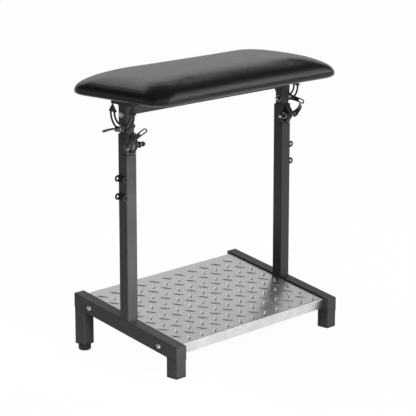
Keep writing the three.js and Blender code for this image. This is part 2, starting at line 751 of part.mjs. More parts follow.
// Tilt clamp: its bolt crosses the inner tube and rides in the quadrant plate's slot
function tiltClamp(parent, side) {
  const name = sideName(side);
  const frame = clampFrame(parent, side, 0, tiltBoltHeight, tiltLeverRise[name]);
  const bore = clampBoltRadius + seam;
  const washer = plateOuter + seam;
  const barrel = washer + washerThickness + seam;
  const nutStart = -innerWidth / 2 - washerThickness - 2 * seam;
  const tail = nutStart - nutLengths.tilt - boltTail;
  piece(frame, `${name}_tilt_clamp_bolt`, clampBolt(tail, tiltPinReach), zinc);
  piece(frame, `${name}_tilt_clamp_washer`, sleeve(bore, washerRadius, washer, washer + washerThickness), zinc);
  piece(frame, `${name}_tilt_clamp_barrel`, sleeve(bore, barrelRadius, barrel, barrel + tiltBarrelLength), blackSteel);
  piece(frame, `${name}_tilt_clamp_nut`, clampNut(nutStart, nutLengths.tilt), blackSteel);
  const lever = group(frame, 0, tiltPinReach);
  lever.rotation.z = tiltLeverOpen[name];
  piece(lever, `${name}_tilt_clamp_lever`, camLever(tiltLeverLength, tiltLeverBow), blackSteel);
  piece(lever, `${name}_tilt_lever_pin`, camPin(), zinc);
}

for (const side of bothSides) {
  const name = sideName(side);
  const frame = group(armrest, side * postAxis);
  piece(frame, `${name}_inner_tube`, innerTube(), paint);
  piece(frame, `${name}_tube_guide`, guide(), blackPlastic);
  const pivot = piece(frame, `${name}_pivot_bolt`, pivotBolt(), zinc, new THREE.Vector3(0, 0, pivotHeight));
  pivot.rotation.z = (-side * Math.PI) / 2;
  postClamp(frame, side);
  tiltClamp(frame, side);
  piece(frame, `${name}_quadrant_plate`, quadrantPlate(side), paint);
}
piece(armrest, 'crossbar', crossbar(), paint);

// Pad outline at an inset from the widest line: a rounded rectangle with drawn-in long sides
function padRing(inset, corner, height) {
  const [a, b] = [padLength / 2 - inset, padWidth / 2 - inset];
  const cornerSteps = 5;
  const longSteps = 12;
  const shortSteps = 6;
  const ring = [];
  const waisted = (x, y) => {
    const middle = Math.cos((Math.PI * x) / padLength);
    return new THREE.Vector3(x, y * (1 - (2 * padWaist * middle * middle) / padWidth), height);
  };
  const straight = (x0, y0, x1, y1, steps) => {
    for (let k = 1; k < steps; k += 1) {
      const share = k / steps;
      ring.push(waisted(x0 + (x1 - x0) * share, y0 + (y1 - y0) * share));
    }
  };
  const round = (x, y, start) => {
    for (let k = 0; k <= cornerSteps; k += 1) {
      const turn = start + (k * Math.PI) / 2 / cornerSteps;
      ring.push(waisted(x + corner * Math.cos(turn), y + corner * Math.sin(turn)));
    }
  };
  const [x, y] = [a - corner, b - corner];
  round(x, y, 0);
  straight(x, b, -x, b, longSteps);
  round(-x, y, Math.PI / 2);
  straight(-a, y, -a, -y, shortSteps);
  round(-x, -y, Math.PI);
  straight(-x, -b, x, -b, longSteps);
  round(x, -y, (3 * Math.PI) / 2);
  straight(a, -y, a, y, shortSteps);
  return ring;
}

// Cushion: rings from the drawn-in lower edge over the bulge and shoulder to the crown
function cushion() {
  const rings = [];
  const cornerAt = (inset) => Math.min(padCorner, (padWidth / 2 - inset) * padRoundShare);
  for (const share of [1, 0.5]) {
    const inset = padBottomInset * share * share;
    rings.push(padRing(inset, cornerAt(inset), padBottom + padBulgeHeight * (1 - share)));
  }
  const steps = 10;
  const rise = padThickness - padBulgeHeight;
  for (let k = 0; k <= steps; k += 1) {
    const turn = (k * Math.PI) / 2 / steps;
    const inset = padCrownInset * (1 - Math.cos(turn) ** (2 / padCrownPower));
    const height = padBottom + padBulgeHeight + rise * Math.sin(turn) ** (2 / padShoulderPower);
    rings.push(padRing(inset, cornerAt(inset), height));
  }
  const count = rings[0].length;
  const points = rings.flat();
  const faces = [];
  rings.slice(1).forEach((_, r) => {
    for (let k = 0; k < count; k += 1) {
      const [p, q] = [r * count + k, r * count + ((k + 1) % count)];
      faces.push(p, q, q + count, p, q + count, p + count);
    }
  });
  const last = (rings.length - 1) * count;
  const hubs = [new THREE.Vector3(0, 0, rings[0][0].z), new THREE.Vector3(0, 0, rings.at(-1)[0].z)];
  points.push(...hubs);
  for (let k = 0; k < count; k += 1) {
    const next = (k + 1) % count;
    faces.push(next, k, points.length - 2);
    faces.push(last + k, last + next, points.length - 1);
  }
  const geometry = new THREE.BufferGeometry().setFromPoints(points);
  geometry.setIndex(faces);
  const pocket = boardBlank(seam).translate(0, 0, padBottom - overrun);
  return solid(geometry).subtract(solid(pocket));
}

// The board's outline with some growth all round; it is as deep as its pocket's cutter
function boardBlank(growth) {
  const inset = 2 * (boardInset - growth);
  const depth = growth > 0 ? boardThickness + seam + overrun : boardThickness;
  return extrude(roundedRect(padLength - inset, padWidth - inset, boardCorner), depth, 4);
}

function board() {
  let body = solid(boardBlank(0).translate(0, 0, padBottom));
  for (const side of bothSides) {
    for (const end of bothSides) {
      const x = side * (postAxis + plateOuter - padScrewInset);
      const hole = rod(padScrewHoleRadius, -overrun, padScrewHoleDepth, smallSides)
        .rotateX(Math.PI / 2)
        .translate(x, (end * padScrewSpacing) / 2, padBottom);
      body = body.subtract(solid(hole));
    }
  }
  return body;
}

piece(armrest, 'pad_board', board(), plywood);
piece(armrest, 'pad_cushion', cushion(), leather);

export default armrest;
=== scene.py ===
import json
import math

import bmesh
import bpy
from mathutils import Matrix, Vector


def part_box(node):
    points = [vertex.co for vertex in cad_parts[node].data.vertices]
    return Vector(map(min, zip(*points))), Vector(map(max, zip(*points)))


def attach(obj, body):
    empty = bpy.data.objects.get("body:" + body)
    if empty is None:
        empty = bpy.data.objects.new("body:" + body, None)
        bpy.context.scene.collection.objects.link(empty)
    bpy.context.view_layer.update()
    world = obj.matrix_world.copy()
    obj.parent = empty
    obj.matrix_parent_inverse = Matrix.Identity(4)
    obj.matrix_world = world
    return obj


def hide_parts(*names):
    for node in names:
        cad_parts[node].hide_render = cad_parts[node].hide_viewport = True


bl_info = {
    "name": "Tattoo armrest",
    "version": (1, 0, 0),
    "blender": (4, 5, 0),
    "location": "View3D > Sidebar > Armrest",
    "description": "Dresses the armrest: upholstered pad, clamps, fixings, finishes and the studio",
    "category": "Object",
}

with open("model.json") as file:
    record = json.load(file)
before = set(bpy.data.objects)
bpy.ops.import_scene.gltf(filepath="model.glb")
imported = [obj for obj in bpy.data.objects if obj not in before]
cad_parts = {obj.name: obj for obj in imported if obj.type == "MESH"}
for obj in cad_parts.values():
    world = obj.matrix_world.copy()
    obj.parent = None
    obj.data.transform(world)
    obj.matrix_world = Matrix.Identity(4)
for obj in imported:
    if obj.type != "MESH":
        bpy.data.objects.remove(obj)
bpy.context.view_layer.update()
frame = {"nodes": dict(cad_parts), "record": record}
NODES = frame["nodes"]
SIDES = (("left", -1), ("right", 1))
TAU = 2 * math.pi


def middle(node):
    low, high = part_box(node)
    return (low + high) / 2


# Places and sizes that the pieces share with the solids

MID_X = middle("crossbar").x
POST_X = {name: middle(f"{name}_inner_tube").x for name, _ in SIDES}
PAD_LOW, PAD_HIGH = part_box("pad_cushion")
JOINT_GAP = 0.0003
INCLINE = math.radians(11)
SLOPE = math.tan(INCLINE)
RAIL_TOP = 0.117  # over the floor, at the posts' axis
RAIL_DEPTH = 0.0373
TUBE = 0.035
POST_HALF = 0.015  # half of a post's depth
TREAD_SHEET = 0.0025
TREAD_DROP = 0.004  # the plate's top below the rails' top
STUD_PITCH = (0.0485, 0.045)
STUD_START = (-0.257, -0.131)
STUD_COUNT = (11, 7)
BRACKET_SHEET = 0.0016
FRAME_BOLT = 0.003
FRAME_BOLT_HEAD = 0.007
FRAME_BOLT_TAIL = 0.007
PLATE_SHEET = 0.003
PLATE_FACE = 0.0173  # the quadrant plates' outer face, from the tubes' middle
PIVOT_BOLT = 0.004
PIVOT_HEAD = 0.007
PIVOT_DEPTH = 0.020
PAD_SCREW_INSET = 0.017
PAD_SCREW_Y = 0.026
BOARD_CORNER = 0.034
FOOT_TOP = 0.0174
FOOT_STEM = 0.004
FOOT_STEM_TOP = 0.052


# Sizes and colours that a user would change


def setting(name, default, description, kind=bpy.props.FloatProperty, **more):
    return kind(name=name, description=description, default=default, min=0, **more)


def length(name, default, description):
    return setting(name, default, description, unit="LENGTH", precision=4)


def power(name, default, description):
    return setting(name, default, description, unit="POWER")


def share(name, default, description):
    return setting(name, default, description, max=1, subtype="FACTOR")


def count(name, default, description):
    return setting(name, default, description, bpy.props.IntProperty)


def colour(name, default, description):
    kind = bpy.props.FloatVectorProperty
    return setting(name, default, description, kind, size=3, subtype="COLOR", max=1)


class PadSettings(bpy.types.PropertyGroup):
    voxel: length("Foam grid", 0.006, "Mesh size of the stuffed form before it is pressed out")
    swell: length("Swell", 0.004, "How far the foam may press the cover out")
    slip: share("Slip", 0.12, "How much of a point's slide along the cover is kept")
    evening: count("Evening", 24, "Rounds of averaging the swell over the cover")
    easing: count("Easing", 45, "Rounds of smoothing over the crown's corners")
    pressure: setting("Pressure", 4, "How hard the foam presses")
    cover: colour("Cover colour", (0.0075, 0.0075, 0.008), "Colour of the leatherette")
    grain: length("Grain", 0.0011, "Size of the leatherette's pebbles")
    gloss: share("Cover roughness", 0.15, "How matt the leatherette is")
    hem_width: length("Hem", 0.013, "Width of cover turned under the board")
    staple_pitch: length("Staple pitch", 0.024, "Distance between the staples")
    staple_crown: length("Staple crown", 0.0095, "Length of a staple's back")


class HardwareSettings(bpy.types.PropertyGroup):
    rivet_radius: length("Rivet head", 0.0036, "Radius of the eyelet brackets' rivet heads")
    rivet_height: length("Rivet height", 0.0012, "Height of a rivet head")
    nut_width: length("Frame nut", 0.010, "Frame nut across its flats")
    nut_height: length("Frame nut height", 0.0052, "Height of a frame nut")
    screw_radius: length("Screw head", 0.0046, "Radius of the pad screws' heads")
    washer_radius: length("Clamp washer", 0.0085, "Radius of the clamps' inner washers")
    thread_pitch: length("Thread pitch", 0.00125, "Distance between thread crests")
    bead: length("Weld bead", 0.0021, "Radius of the weld beads")


class StudSettings(bpy.types.PropertyGroup):
    reach: length("Stud length", 0.031, "Length of a raised lozenge")
    width: length("Stud width", 0.0082, "Width of a raised lozenge")
    height: length("Stud height", 0.0016, "Height of a raised lozenge")


class FinishSettings(bpy.types.PropertyGroup):
    paint: colour("Frame paint", (0.026, 0.0262, 0.0272), "Powder coat on the frame")
    zinc: colour("Zinc", (0.86, 0.865, 0.87), "Plated screws, washers and bolts")
    black_steel: colour("Blackened steel", (0.014, 0.014, 0.015), "Barrels, spacers and nuts")
    lever: colour("Lever coating", (0.046, 0.046, 0.047), "Cam levers")
    sheet: colour("Tread sheet", (0.78, 0.785, 0.79), "Aluminium of the footrest")
    plastic: colour("Plastic", (0.012, 0.012, 0.013), "Caps, inserts and feet")
    ply: colour("Plywood", (0.26, 0.2, 0.145), "The board in the pad")


class StageSettings(bpy.types.PropertyGroup):
    floor_size: length("Floor", 14.0, "Side of the floor")
    floor_tone: share("Floor tone", 0.9, "Grey level of the floor")
    backdrop: share("Backdrop", 1.0, "Brightness of the background")
    dome: share("Ceiling", 0.05, "Brightness of the studio above the backdrop")
    flag: share("Left flag", 0.3, "Brightness of the studio's left side in reflections")
    # The floor card's extra brightness is a painted highlight, seen only in reflections
    card: setting("Floor card", 0.12, "Extra brightness of the floor before the left post")
    ambient: share("Ambient light", 0.5, "Strength of the light from all round")
    key: power("Key light", 26, "Power of the overhead softbox")
    fill: power("Fill light", 76, "Power of the front softboxes")
    low: power("Low light", 2.9, "Power of the narrow light on the left post")
    lens: length("Lens", 0.15338, "Focal length on a 36 mm frame")


# Modelling helpers: pieces are shaped with the mesh tools in edit mode and with modifiers


def clear():
    if bpy.context.mode != "OBJECT":
        bpy.ops.object.mode_set(mode="OBJECT")
    bpy.ops.object.select_all(action="DESELECT")


def activate(piece):
    clear()
    piece.select_set(True)
    bpy.context.view_layer.objects.active = piece


def edit(piece):
    """Opens a piece in edit mode and selects all of it."""
    activate(piece)
    bpy.ops.object.mode_set(mode="EDIT")
    bpy.ops.mesh.select_all(action="SELECT")


def close(piece):
    """Closes edit mode and works the object's place into its mesh."""
    activate(piece)
    bpy.ops.object.transform_apply(location=True, rotation=True, scale=True)
    return piece


def discard(*pieces):
    for piece in pieces:
        bpy.data.objects.remove(piece)


def rename(piece, name):
    piece.name = name
    piece.data.name = name
    return piece


def begin(name, add, **settings):
    """A new primitive, named, open in edit mode and selected all over."""
    clear()
    add(**settings)
    piece = rename(bpy.context.active_object, name)
    edit(piece)
    return piece


def pick(piece, kind, test):
    """Selects the faces, edges or vertices of an open piece that pass a test."""
    bpy.ops.mesh.select_mode(type=kind)
    bpy.ops.mesh.select_all(action="DESELECT")
    mesh = bmesh.from_edit_mesh(piece.data)
    for part in {"FACE": mesh.faces, "EDGE": mesh.edges, "VERT": mesh.verts}[kind]:
        part.select_set(bool(test(part)))
    mesh.select_flush_mode()
    bmesh.update_edit_mesh(piece.data)


def tidy(piece, merge=1e-6):
    """Merges doubled points, turns the faces outwards and closes edit mode."""
    if bpy.context.mode != "EDIT_MESH":
        edit(piece)
    bpy.ops.mesh.select_all(action="SELECT")
    bpy.ops.mesh.remove_doubles(threshold=merge)
    bpy.ops.mesh.normals_make_consistent(inside=False)
    bpy.ops.object.mode_set(mode="OBJECT")
    return piece


def modify(piece, kind, **settings):
    """Adds a modifier and applies it."""
    activate(piece)
    modifier = piece.modifiers.new(kind.title(), kind)
    for key, value in settings.items():
        setattr(modifier, key, value)
    bpy.ops.object.modifier_apply(modifier=modifier.name)
    return piece


def soften(piece, width, segments=2, angle=40):
    """Breaks the edges that are sharper than an angle."""
    return modify(
        piece, "BEVEL", width=width, segments=segments, limit_method="ANGLE",
        angle_limit=math.radians(angle), harden_normals=False,
    )


def smooth(piece, angle=40):
    activate(piece)
    bpy.ops.object.shade_smooth_by_angle(angle=math.radians(angle))
    return piece


def combine(piece, tool, operation="DIFFERENCE"):
    modify(piece, "BOOLEAN", operation=operation, solver="EXACT", object=tool)
    discard(tool)
    return piece


def join(name, pieces):
    clear()
    for piece in pieces:
        piece.select_set(True)
    bpy.context.view_layer.objects.active = pieces[0]
    bpy.ops.object.join()
    return rename(bpy.context.active_object, name)


def settle(piece, place):
    """Puts a piece where a matrix says and works that place into its mesh."""
    activate(piece)
    piece.matrix_world = place @ piece.matrix_world
    close(piece)
    return tidy(piece) if place.determinant() < 0 else piece


def copy_of(piece, name, place):
    twin = piece.copy()
    twin.data = piece.data.copy()
    bpy.context.scene.collection.objects.link(twin)
    return settle(rename(twin, name), place)


def mesh_of(node, name):
    """A new piece with a merged copy of a CAD node's mesh."""
    piece = rename(bpy.data.objects.new(name, NODES[node].data.copy()), name)
    bpy.context.scene.collection.objects.link(piece)
    return tidy(piece, 1e-5)


def finish(piece, body, slot, *replaces, look=None):
    """Gives a piece its finish and says what it moves with and stands for."""
    piece.data.materials.clear()
    piece.data.materials.append(material(look or slot))
    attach(piece, body)
    if replaces:
        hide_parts(*replaces)


def put(template, name, place, body, slot, *replaces, look=None):
    """Copies a template to its place and finishes the copy."""
    finish(copy_of(template, name, place), body, slot, *replaces, look=look)


def basis(x, y, z, origin):
    place = Matrix((x, y, z)).transposed().to_4x4()
    place.translation = origin
    return place


def along(axis_end, origin):
    """Turns Z onto a direction, for a turned piece that lies across the armrest."""
    turn = Vector(axis_end).to_track_quat("Z", "Y").to_matrix().to_4x4()
    turn.translation = origin
    return turn


def turn_about(axis, degrees):
    return Matrix.Rotation(math.radians(degrees), 4, axis)


def ramp(value, low, span):
    """0 below low, 1 from a span above it, straight between."""
    return min(1, max(0, (value - low) / span))


def turned(name, profile, sides=48, hollow=False):
    """A turned piece along Z: a ring, extruded and resized from one station to the next."""
    radius, height = profile[0]
    piece = begin(
        name, bpy.ops.mesh.primitive_circle_add, vertices=sides, radius=radius,
        location=(0, 0, height), fill_type="NOTHING" if hollow else "NGON",
    )
    for r, h in profile[1:]:
        bpy.ops.mesh.extrude_region_move(TRANSFORM_OT_translate={"value": (0, 0, h - height)})
        if r <= 0:
            bpy.ops.mesh.merge(type="CENTER")
            break
        if abs(r - radius) > 1e-9:
            ratio = r / radius
            bpy.ops.transform.resize(value=(ratio, ratio, 1), center_override=(0, 0, h))
        radius, height = r, h
    return tidy(piece)


def ring(name, bore, radius, low, high, edge, sides=40):
    """A washer or sleeve with broken edges."""
    profile = [
        (bore, low), (radius - edge, low), (radius, low + edge), (radius, high - edge),
        (radius - edge, high), (bore, high), (bore, low),
    ]
    return turned(name, profile, sides, hollow=True)


def dome(radius, base, rise, turns):
    """Stations of a rounded head, from its rim towards its top."""
    return [(radius * math.cos(turn), base + rise * math.sin(turn)) for turn in turns]


def thread(radius, low, high, pitch):
    """Stations of a screw thread's crests and roots."""
    stations = []
    height = low
    while height < high - pitch:
        stations += [(radius * 0.86, height), (radius, height + pitch / 2)]
        height += pitch
    return stations


def prism(name, sides, across, low, high):
    """A bar of regular section, measured across its flats, along Z."""
    return tidy(begin(
        name, bpy.ops.mesh.primitive_cylinder_add, vertices=sides,
        radius=across / 2 / math.cos(math.pi / sides), depth=high - low,
        location=(0, 0, (low + high) / 2),
    ))


def bar(name, *stations):
    """A box between pairs of stations on each axis."""
    return close(begin(
        name, bpy.ops.mesh.primitive_cube_add, size=1,
        location=[(low + high) / 2 for low, high in stations],
        scale=[high - low for low, high in stations],
    ))


# Shader helpers


class Flow:
    """A shader socket that adds Math nodes when it is used in an expression."""

    def __init__(self, finish, socket):
        self.finish = finish
        self.socket = socket

    def maths(self, operation, *values):
        return self.finish.node("ShaderNodeMath", dict(enumerate(values)), operation=operation)[0]

    def __add__(self, other):
        return self.maths("ADD", self, other)

    __radd__ = __add__

    def __sub__(self, other):
        return self.maths("SUBTRACT", self, other)

    def __rsub__(self, other):
        return self.maths("SUBTRACT", other, self)

    def __mul__(self, other):
        return self.maths("MULTIPLY", self, other)

    def larger(self, other):
        return self.maths("MAXIMUM", self, other)

    def wave(self):
        return self.maths("SINE", self)

    def band(self, low, high):
        """0 below low, 1 above high, smooth between."""
        inputs = {"Value": self, "From Min": low, "From Max": high, "To Min": 0, "To Max": 1}
        return self.finish.node("ShaderNodeMapRange", inputs, interpolation_type="SMOOTHSTEP")["Result"]


class Outputs:
    """A node's outputs, by name or number."""

    def __init__(self, finish, node):
        self.finish = finish
        self.node = node

    def __getitem__(self, key):
        return Flow(self.finish, self.node.outputs[key])


class Finish:
    """One procedural material, built node by node."""

    def __init__(self, name):
        self.material = bpy.data.materials.new(name)
        self.material.use_nodes = True
        self.tree = self.material.node_tree
        self.shader = self.tree.nodes["Principled BSDF"]
        self.output = self.tree.nodes["Material Output"]
        self.place = self.node("ShaderNodeTexCoord")["Object"]

    def node(self, kind, inputs=None, **settings):
        made = self.tree.nodes.new(kind)
        for key, value in settings.items():
            setattr(made, key, value)
        for key, value in (inputs or {}).items():
            self.feed(made.inputs[key], value)
        return Outputs(self, made)

    def feed(self, socket, value):
        if isinstance(value, Flow):
            self.tree.links.new(value.socket, socket)
        elif isinstance(value, (int, float)):
            socket.default_value = value
        else:
            value = tuple(value)
            socket.default_value = value if len(value) == len(socket.default_value) else (*value, 1)

    def set(self, **sockets):
        for key, value in sockets.items():
            self.feed(self.shader.inputs[key.replace("_", " ")], value)

    def surface(self, shader):
        self.feed(self.output.inputs["Surface"], shader)

    def axes(self, vector):
        found = self.node("ShaderNodeSeparateXYZ", {0: vector})
        return found["X"], found["Y"], found["Z"]

    def noise(self, scale, detail=2, roughness=0.5, vector=None, distortion=0, output="Fac"):
        inputs = {
            "Vector": vector or self.place, "Scale": scale, "Detail": detail,
            "Roughness": roughness, "Distortion": distortion,
        }
        return self.node("ShaderNodeTexNoise", inputs)[output]

    def stretched(self, x, y, z):
        inputs = {0: self.place, 1: (x, y, z)}
        return self.node("ShaderNodeVectorMath", inputs, operation="MULTIPLY")["Vector"]

    def blend(self, factor, low, high):
        """Mixes two colours."""
        inputs = {"Factor": factor, 6: low, 7: high}
        return self.node("ShaderNodeMix", inputs, data_type="RGBA")[2]

    def relief(self, height, distance, strength):
        inputs = {"Height": height, "Distance": distance, "Strength": strength}
        return self.node("ShaderNodeBump", inputs)["Normal"]


class Backdrop(Finish):
    """The world's nodes, built in the same way as a material's."""

    def __init__(self, world):
        self.tree = world.node_tree
        self.output = self.tree.nodes["World Output"]
        self.direction = self.node("ShaderNodeTexCoord")["Generated"]


def shade(tone, factor):
    return tuple(min(1, channel * factor) for channel in tone)


def painted_steel(finish, scene):
    """Semi-gloss powder coat: fine orange peel, a little dust and broad patches a little lighter and
    darker.
    """
    tone = scene.armrest_finish.paint
    broad = finish.noise(9, 3)
    dust = finish.noise(70, 4).band(0.55, 0.8)
    base = finish.blend(broad.band(0.3, 0.7), shade(tone, 0.88), shade(tone, 1.14))
    finish.set(
        Base_Color=finish.blend(dust * 0.35, base, shade(tone, 2.1)),
        Roughness=0.4 + broad * 0.08 + dust * 0.08,
        Normal=finish.relief(finish.noise(620), 0.0003, 0.5),
    )


def zinc_steel(finish, scene):
    """Bright zinc plate with a faint mottle."""
    tone = scene.armrest_finish.zinc
    mottle = finish.noise(240, 3)
    finish.set(
        Base_Color=finish.blend(mottle.band(0.3, 0.7), shade(tone, 0.9), tone),
        Metallic=1.0,
        Roughness=0.25 + mottle * 0.12,
        Normal=finish.relief(finish.noise(900), 0.0002, 0.25),
    )


def black_steel(finish, scene):
    """Blackened steel of the clamp parts, worn a little brighter in patches."""
    tone = scene.armrest_finish.black_steel
    wear = finish.noise(160, 4).band(0.6, 0.85)
    finish.set(
        Base_Color=finish.blend(wear * 0.5, tone, shade(tone, 4)),
        Metallic=0.35,
        Roughness=0.34 + wear * 0.14,
        Normal=finish.relief(finish.noise(1100), 0.0002, 0.35),
    )


def lever_steel(finish, scene):
    """Smooth dark coating of the cam levers, rubbed brighter in places."""
    tone = scene.armrest_finish.lever
    rub = finish.noise(120, 3).band(0.58, 0.85)
    finish.set(
        Base_Color=finish.blend(rub * 0.5, tone, shade(tone, 2.2)),
        Metallic=0.2,
        Roughness=0.36 + rub * 0.1,
        Normal=finish.relief(finish.noise(800), 0.0002, 0.3),
    )


def black_plastic(finish, scene):
    """Moulded plastic with a fine spark-eroded texture."""
    tone = scene.armrest_finish.plastic
    patch = finish.noise(40)
    finish.set(
        Base_Color=finish.blend(patch, shade(tone, 0.85), shade(tone, 1.3)),
        Roughness=0.46 + patch * 0.12,
        Normal=finish.relief(finish.noise(1400), 0.0002, 0.6),
    )


def tread_sheet(finish, scene):
    """Rolled aluminium: grain along the sheet, cloudy patches, and raised studs polished smoother by
    feet, with painted shade on them.
    """
    tone = scene.armrest_finish.sheet
    _, y, z = finish.axes(finish.place)
    height = z * math.cos(INCLINE) - y * math.sin(INCLINE) - RAIL_TOP * math.cos(INCLINE)
    # The raised studs are a tenth darker in tone: painted shade, for the dark that their slopes
    # reflect; their lower roughness is the polish of feet
    raised = height.band(-0.0036, -0.0026)
    grain = finish.noise(1, 3, vector=finish.stretched(28, 620, 620))
    cloud = finish.noise(26, 4, 0.6)
    scuff = finish.noise(300, 3).band(0.6, 0.8)
    flat = finish.blend(cloud.band(0.25, 0.75), shade(tone, 0.84), tone)
    flat = finish.blend(scuff * 0.3, flat, shade(tone, 0.7))
    finish.set(
        Base_Color=finish.blend(raised, flat, shade(tone, 0.9)),
        Metallic=1.0,
        Roughness=0.28 + cloud * 0.1 + grain * 0.05 - raised * 0.04,
        Normal=finish.relief(grain * 0.6 + cloud * 0.4, 0.0004, 0.3),
    )


def leatherette(finish, scene):
    """Black upholstery cover: pebbles parted by fine creases with painted shade in them, and softer and
    shinier patches.
    """
    settings = scene.armrest_pad
    warp = finish.noise(260, output="Color")
    shifted = finish.node(
        "ShaderNodeVectorMath", {0: warp, 1: (0.0009, 0.0009, 0.0009), 2: finish.place},
        operation="MULTIPLY_ADD",
    )["Vector"]
    edges = finish.node(
        "ShaderNodeTexVoronoi", {"Vector": shifted, "Scale": 1 / settings.grain},
        feature="DISTANCE_TO_EDGE",
    )["Distance"]
    # The creases are coloured darker than the pebbles: painted shade, beside their real bump and
    # roughness
    crease = edges.band(0, 0.16)
    patch = finish.noise(14, 3)
    finish.set(
        Base_Color=finish.blend(crease, shade(settings.cover, 0.5), settings.cover),
        Roughness=settings.gloss + patch * 0.05 + (1 - crease) * 0.1,
        Normal=finish.relief(crease + finish.noise(1900) * 0.3, 0.0001, 0.22),
    )


def plywood(finish, scene):
    """Birch plywood: long face grain, and thin plies on the edges."""
    tone = scene.armrest_finish.ply
    grain = finish.noise(1, 5, 0.6, finish.stretched(7, 120, 60), 0.6)
    fleck = finish.noise(1, vector=finish.stretched(60, 900, 300)).band(0.6, 0.75)
    _, _, z = finish.axes(finish.place)
    ply = (z * (TAU / 0.0026)).wave().band(-0.2, 0.2)
    face = finish.blend(grain.band(0.35, 0.65), shade(tone, 0.72), tone)
    face = finish.blend(fleck * 0.4, face, shade(tone, 0.5))
    finish.set(
        Base_Color=finish.blend(ply * 0.25, face, shade(tone, 0.6)),
        Roughness=0.66 + grain * 0.16,
        Normal=finish.relief(grain + ply * 0.15, 0.0004, 0.4),
    )


MAKERS = (
    painted_steel, zinc_steel, black_steel, lever_steel, black_plastic, tread_sheet, leatherette,
    plywood,
)
MATERIALS = {}


def material(name):
    """The material of that name, made when it is first asked for."""
    if name not in MATERIALS:
        MATERIALS[name] = Finish(name)
        makers = {maker.__name__: maker for maker in MAKERS}
        makers[name](MATERIALS[name], bpy.context.scene)
    return MATERIALS[name].material


# The clamps: their pieces lie in a clamp's own frame, X where the closed lever points, Y outward
# along the bolt and Z along the cam pin


CLAMPS = {
    "post": {
        "rise": {"left": 50, "right": 37},
        "open": {"left": -30, "right": -30},
        "y": -0.0235, "z": 0.5655, "seat": 0.007, "barrel": 0.009, "lever": 0.068, "bow": 0.005,
        "spacer": 0.010, "nut": 0.015, "nut_seat": -0.007, "body": "base",
    },
    "tilt": {
        "rise": {"left": -90, "right": -11},
        "open": {"left": 90, "right": 0},
        "y": 0.0, "z": 0.609, "seat": PLATE_FACE, "barrel": 0.002, "lever": 0.0525, "bow": 0.0025,
        "spacer": 0, "nut": 0.007, "nut_seat": -0.014, "body": "lift",
    },
}
WASHER = 0.0015
BARREL = 0.0065
BOLT = 0.004
NUT = 0.0064
NUT_GROOVES = 36
EYE = 0.005
CAM = 0.0074
CAM_OFFSET = 0.0008
PIN = 0.0024
LEVER_ROOT = 0.015
LEVER_TIP = 0.012
LEVER_SHEET = 0.0026
LEVER_STATIONS = 12
LOOP_BAR = 0.0026
LOOP = 0.018
OUTWARD = Matrix.Rotation(-math.pi / 2, 4, "X")  # carries Z onto the clamp frame's Y


def clamp_place(kind, side_name, side):
    clamp = CLAMPS[kind]
    rise = math.radians(clamp["rise"][side_name])
    closed = Vector((0, -math.cos(rise), math.sin(rise)))
    outward = Vector((side, 0, 0))
    origin = Vector((POST_X[side_name], clamp["y"], clamp["z"]))
    return basis(closed, outward, closed.cross(outward), origin)


def pin_reach(clamp):
    return clamp["seat"] + WASHER + clamp["barrel"] + CAM + CAM_OFFSET + 3 * JOINT_GAP


def inner_seat(clamp):
    """Where the inner washer rests, past the spacer if there is one."""
    gaps = 2 if clamp["spacer"] else 1
    return clamp["nut_seat"] - clamp["spacer"] - gaps * JOINT_GAP


def clamp_bolt(clamp, pitch):
    """Bolt with its thread, shank and rounded eye."""
    start = inner_seat(clamp) - WASHER - JOINT_GAP
    tail = start - clamp["nut"] - 0.003
    end = pin_reach(clamp) + EYE
    profile = [(BOLT * 0.8, tail)] + thread(BOLT, tail + 0.0002, start + 0.004, pitch)
    profile += [
        (BOLT, start + 0.005), (BOLT, end - 0.0022), (BOLT * 0.86, end - 0.0009), (BOLT * 0.5, end)
    ]
    return smooth(settle(turned("bolt", profile, 32), OUTWARD))


def clamp_sleeve(radius, low, height, edge):
    piece = ring("sleeve", BOLT + JOINT_GAP, radius, low, low + height, edge, 48)
    return smooth(settle(piece, OUTWARD), 30)


def clamp_nut(clamp):
    """Adjusting nut with a knurled rim, broken at both ends."""
    bore, rim = BOLT + JOINT_GAP, NUT - 0.0012
    start = clamp["nut_seat"] - clamp["spacer"] - WASHER - 2 * JOINT_GAP
    end = start - clamp["nut"]
    profile = [
        (bore, end), (rim, end), (NUT, end + 0.0012), (NUT, start - 0.0014), (rim, start),
        (bore, start), (bore, end),
    ]
    piece = turned("nut", profile, 2 * NUT_GROOVES, hollow=True)
    edit(piece)

    def groove(vertex):
        reach = math.hypot(vertex.co.x, vertex.co.y)
        turn = math.atan2(vertex.co.y, vertex.co.x) / TAU * NUT_GROOVES % 1
        return reach > NUT * 0.97 and 0.25 < turn < 0.75

    pick(piece, "VERT", groove)
    bpy.ops.transform.resize(value=(0.93, 0.93, 1), center_override=(0, 0, 0))
    return smooth(settle(piece, OUTWARD), 25)


def stadium(x0, x1, radius, half):
    """A cutter with round ends, across a lever's blade."""
    piece = begin(
        "loop", bpy.ops.mesh.primitive_cylinder_add, vertices=32, radius=radius, depth=2 * half,
        location=(x0, 0, 0), rotation=(math.pi / 2, 0, 0),
    )
    pick(piece, "VERT", lambda v: v.co.x > 1e-6)
    bpy.ops.transform.translate(value=(x1 - x0, 0, 0))
    return close(piece)


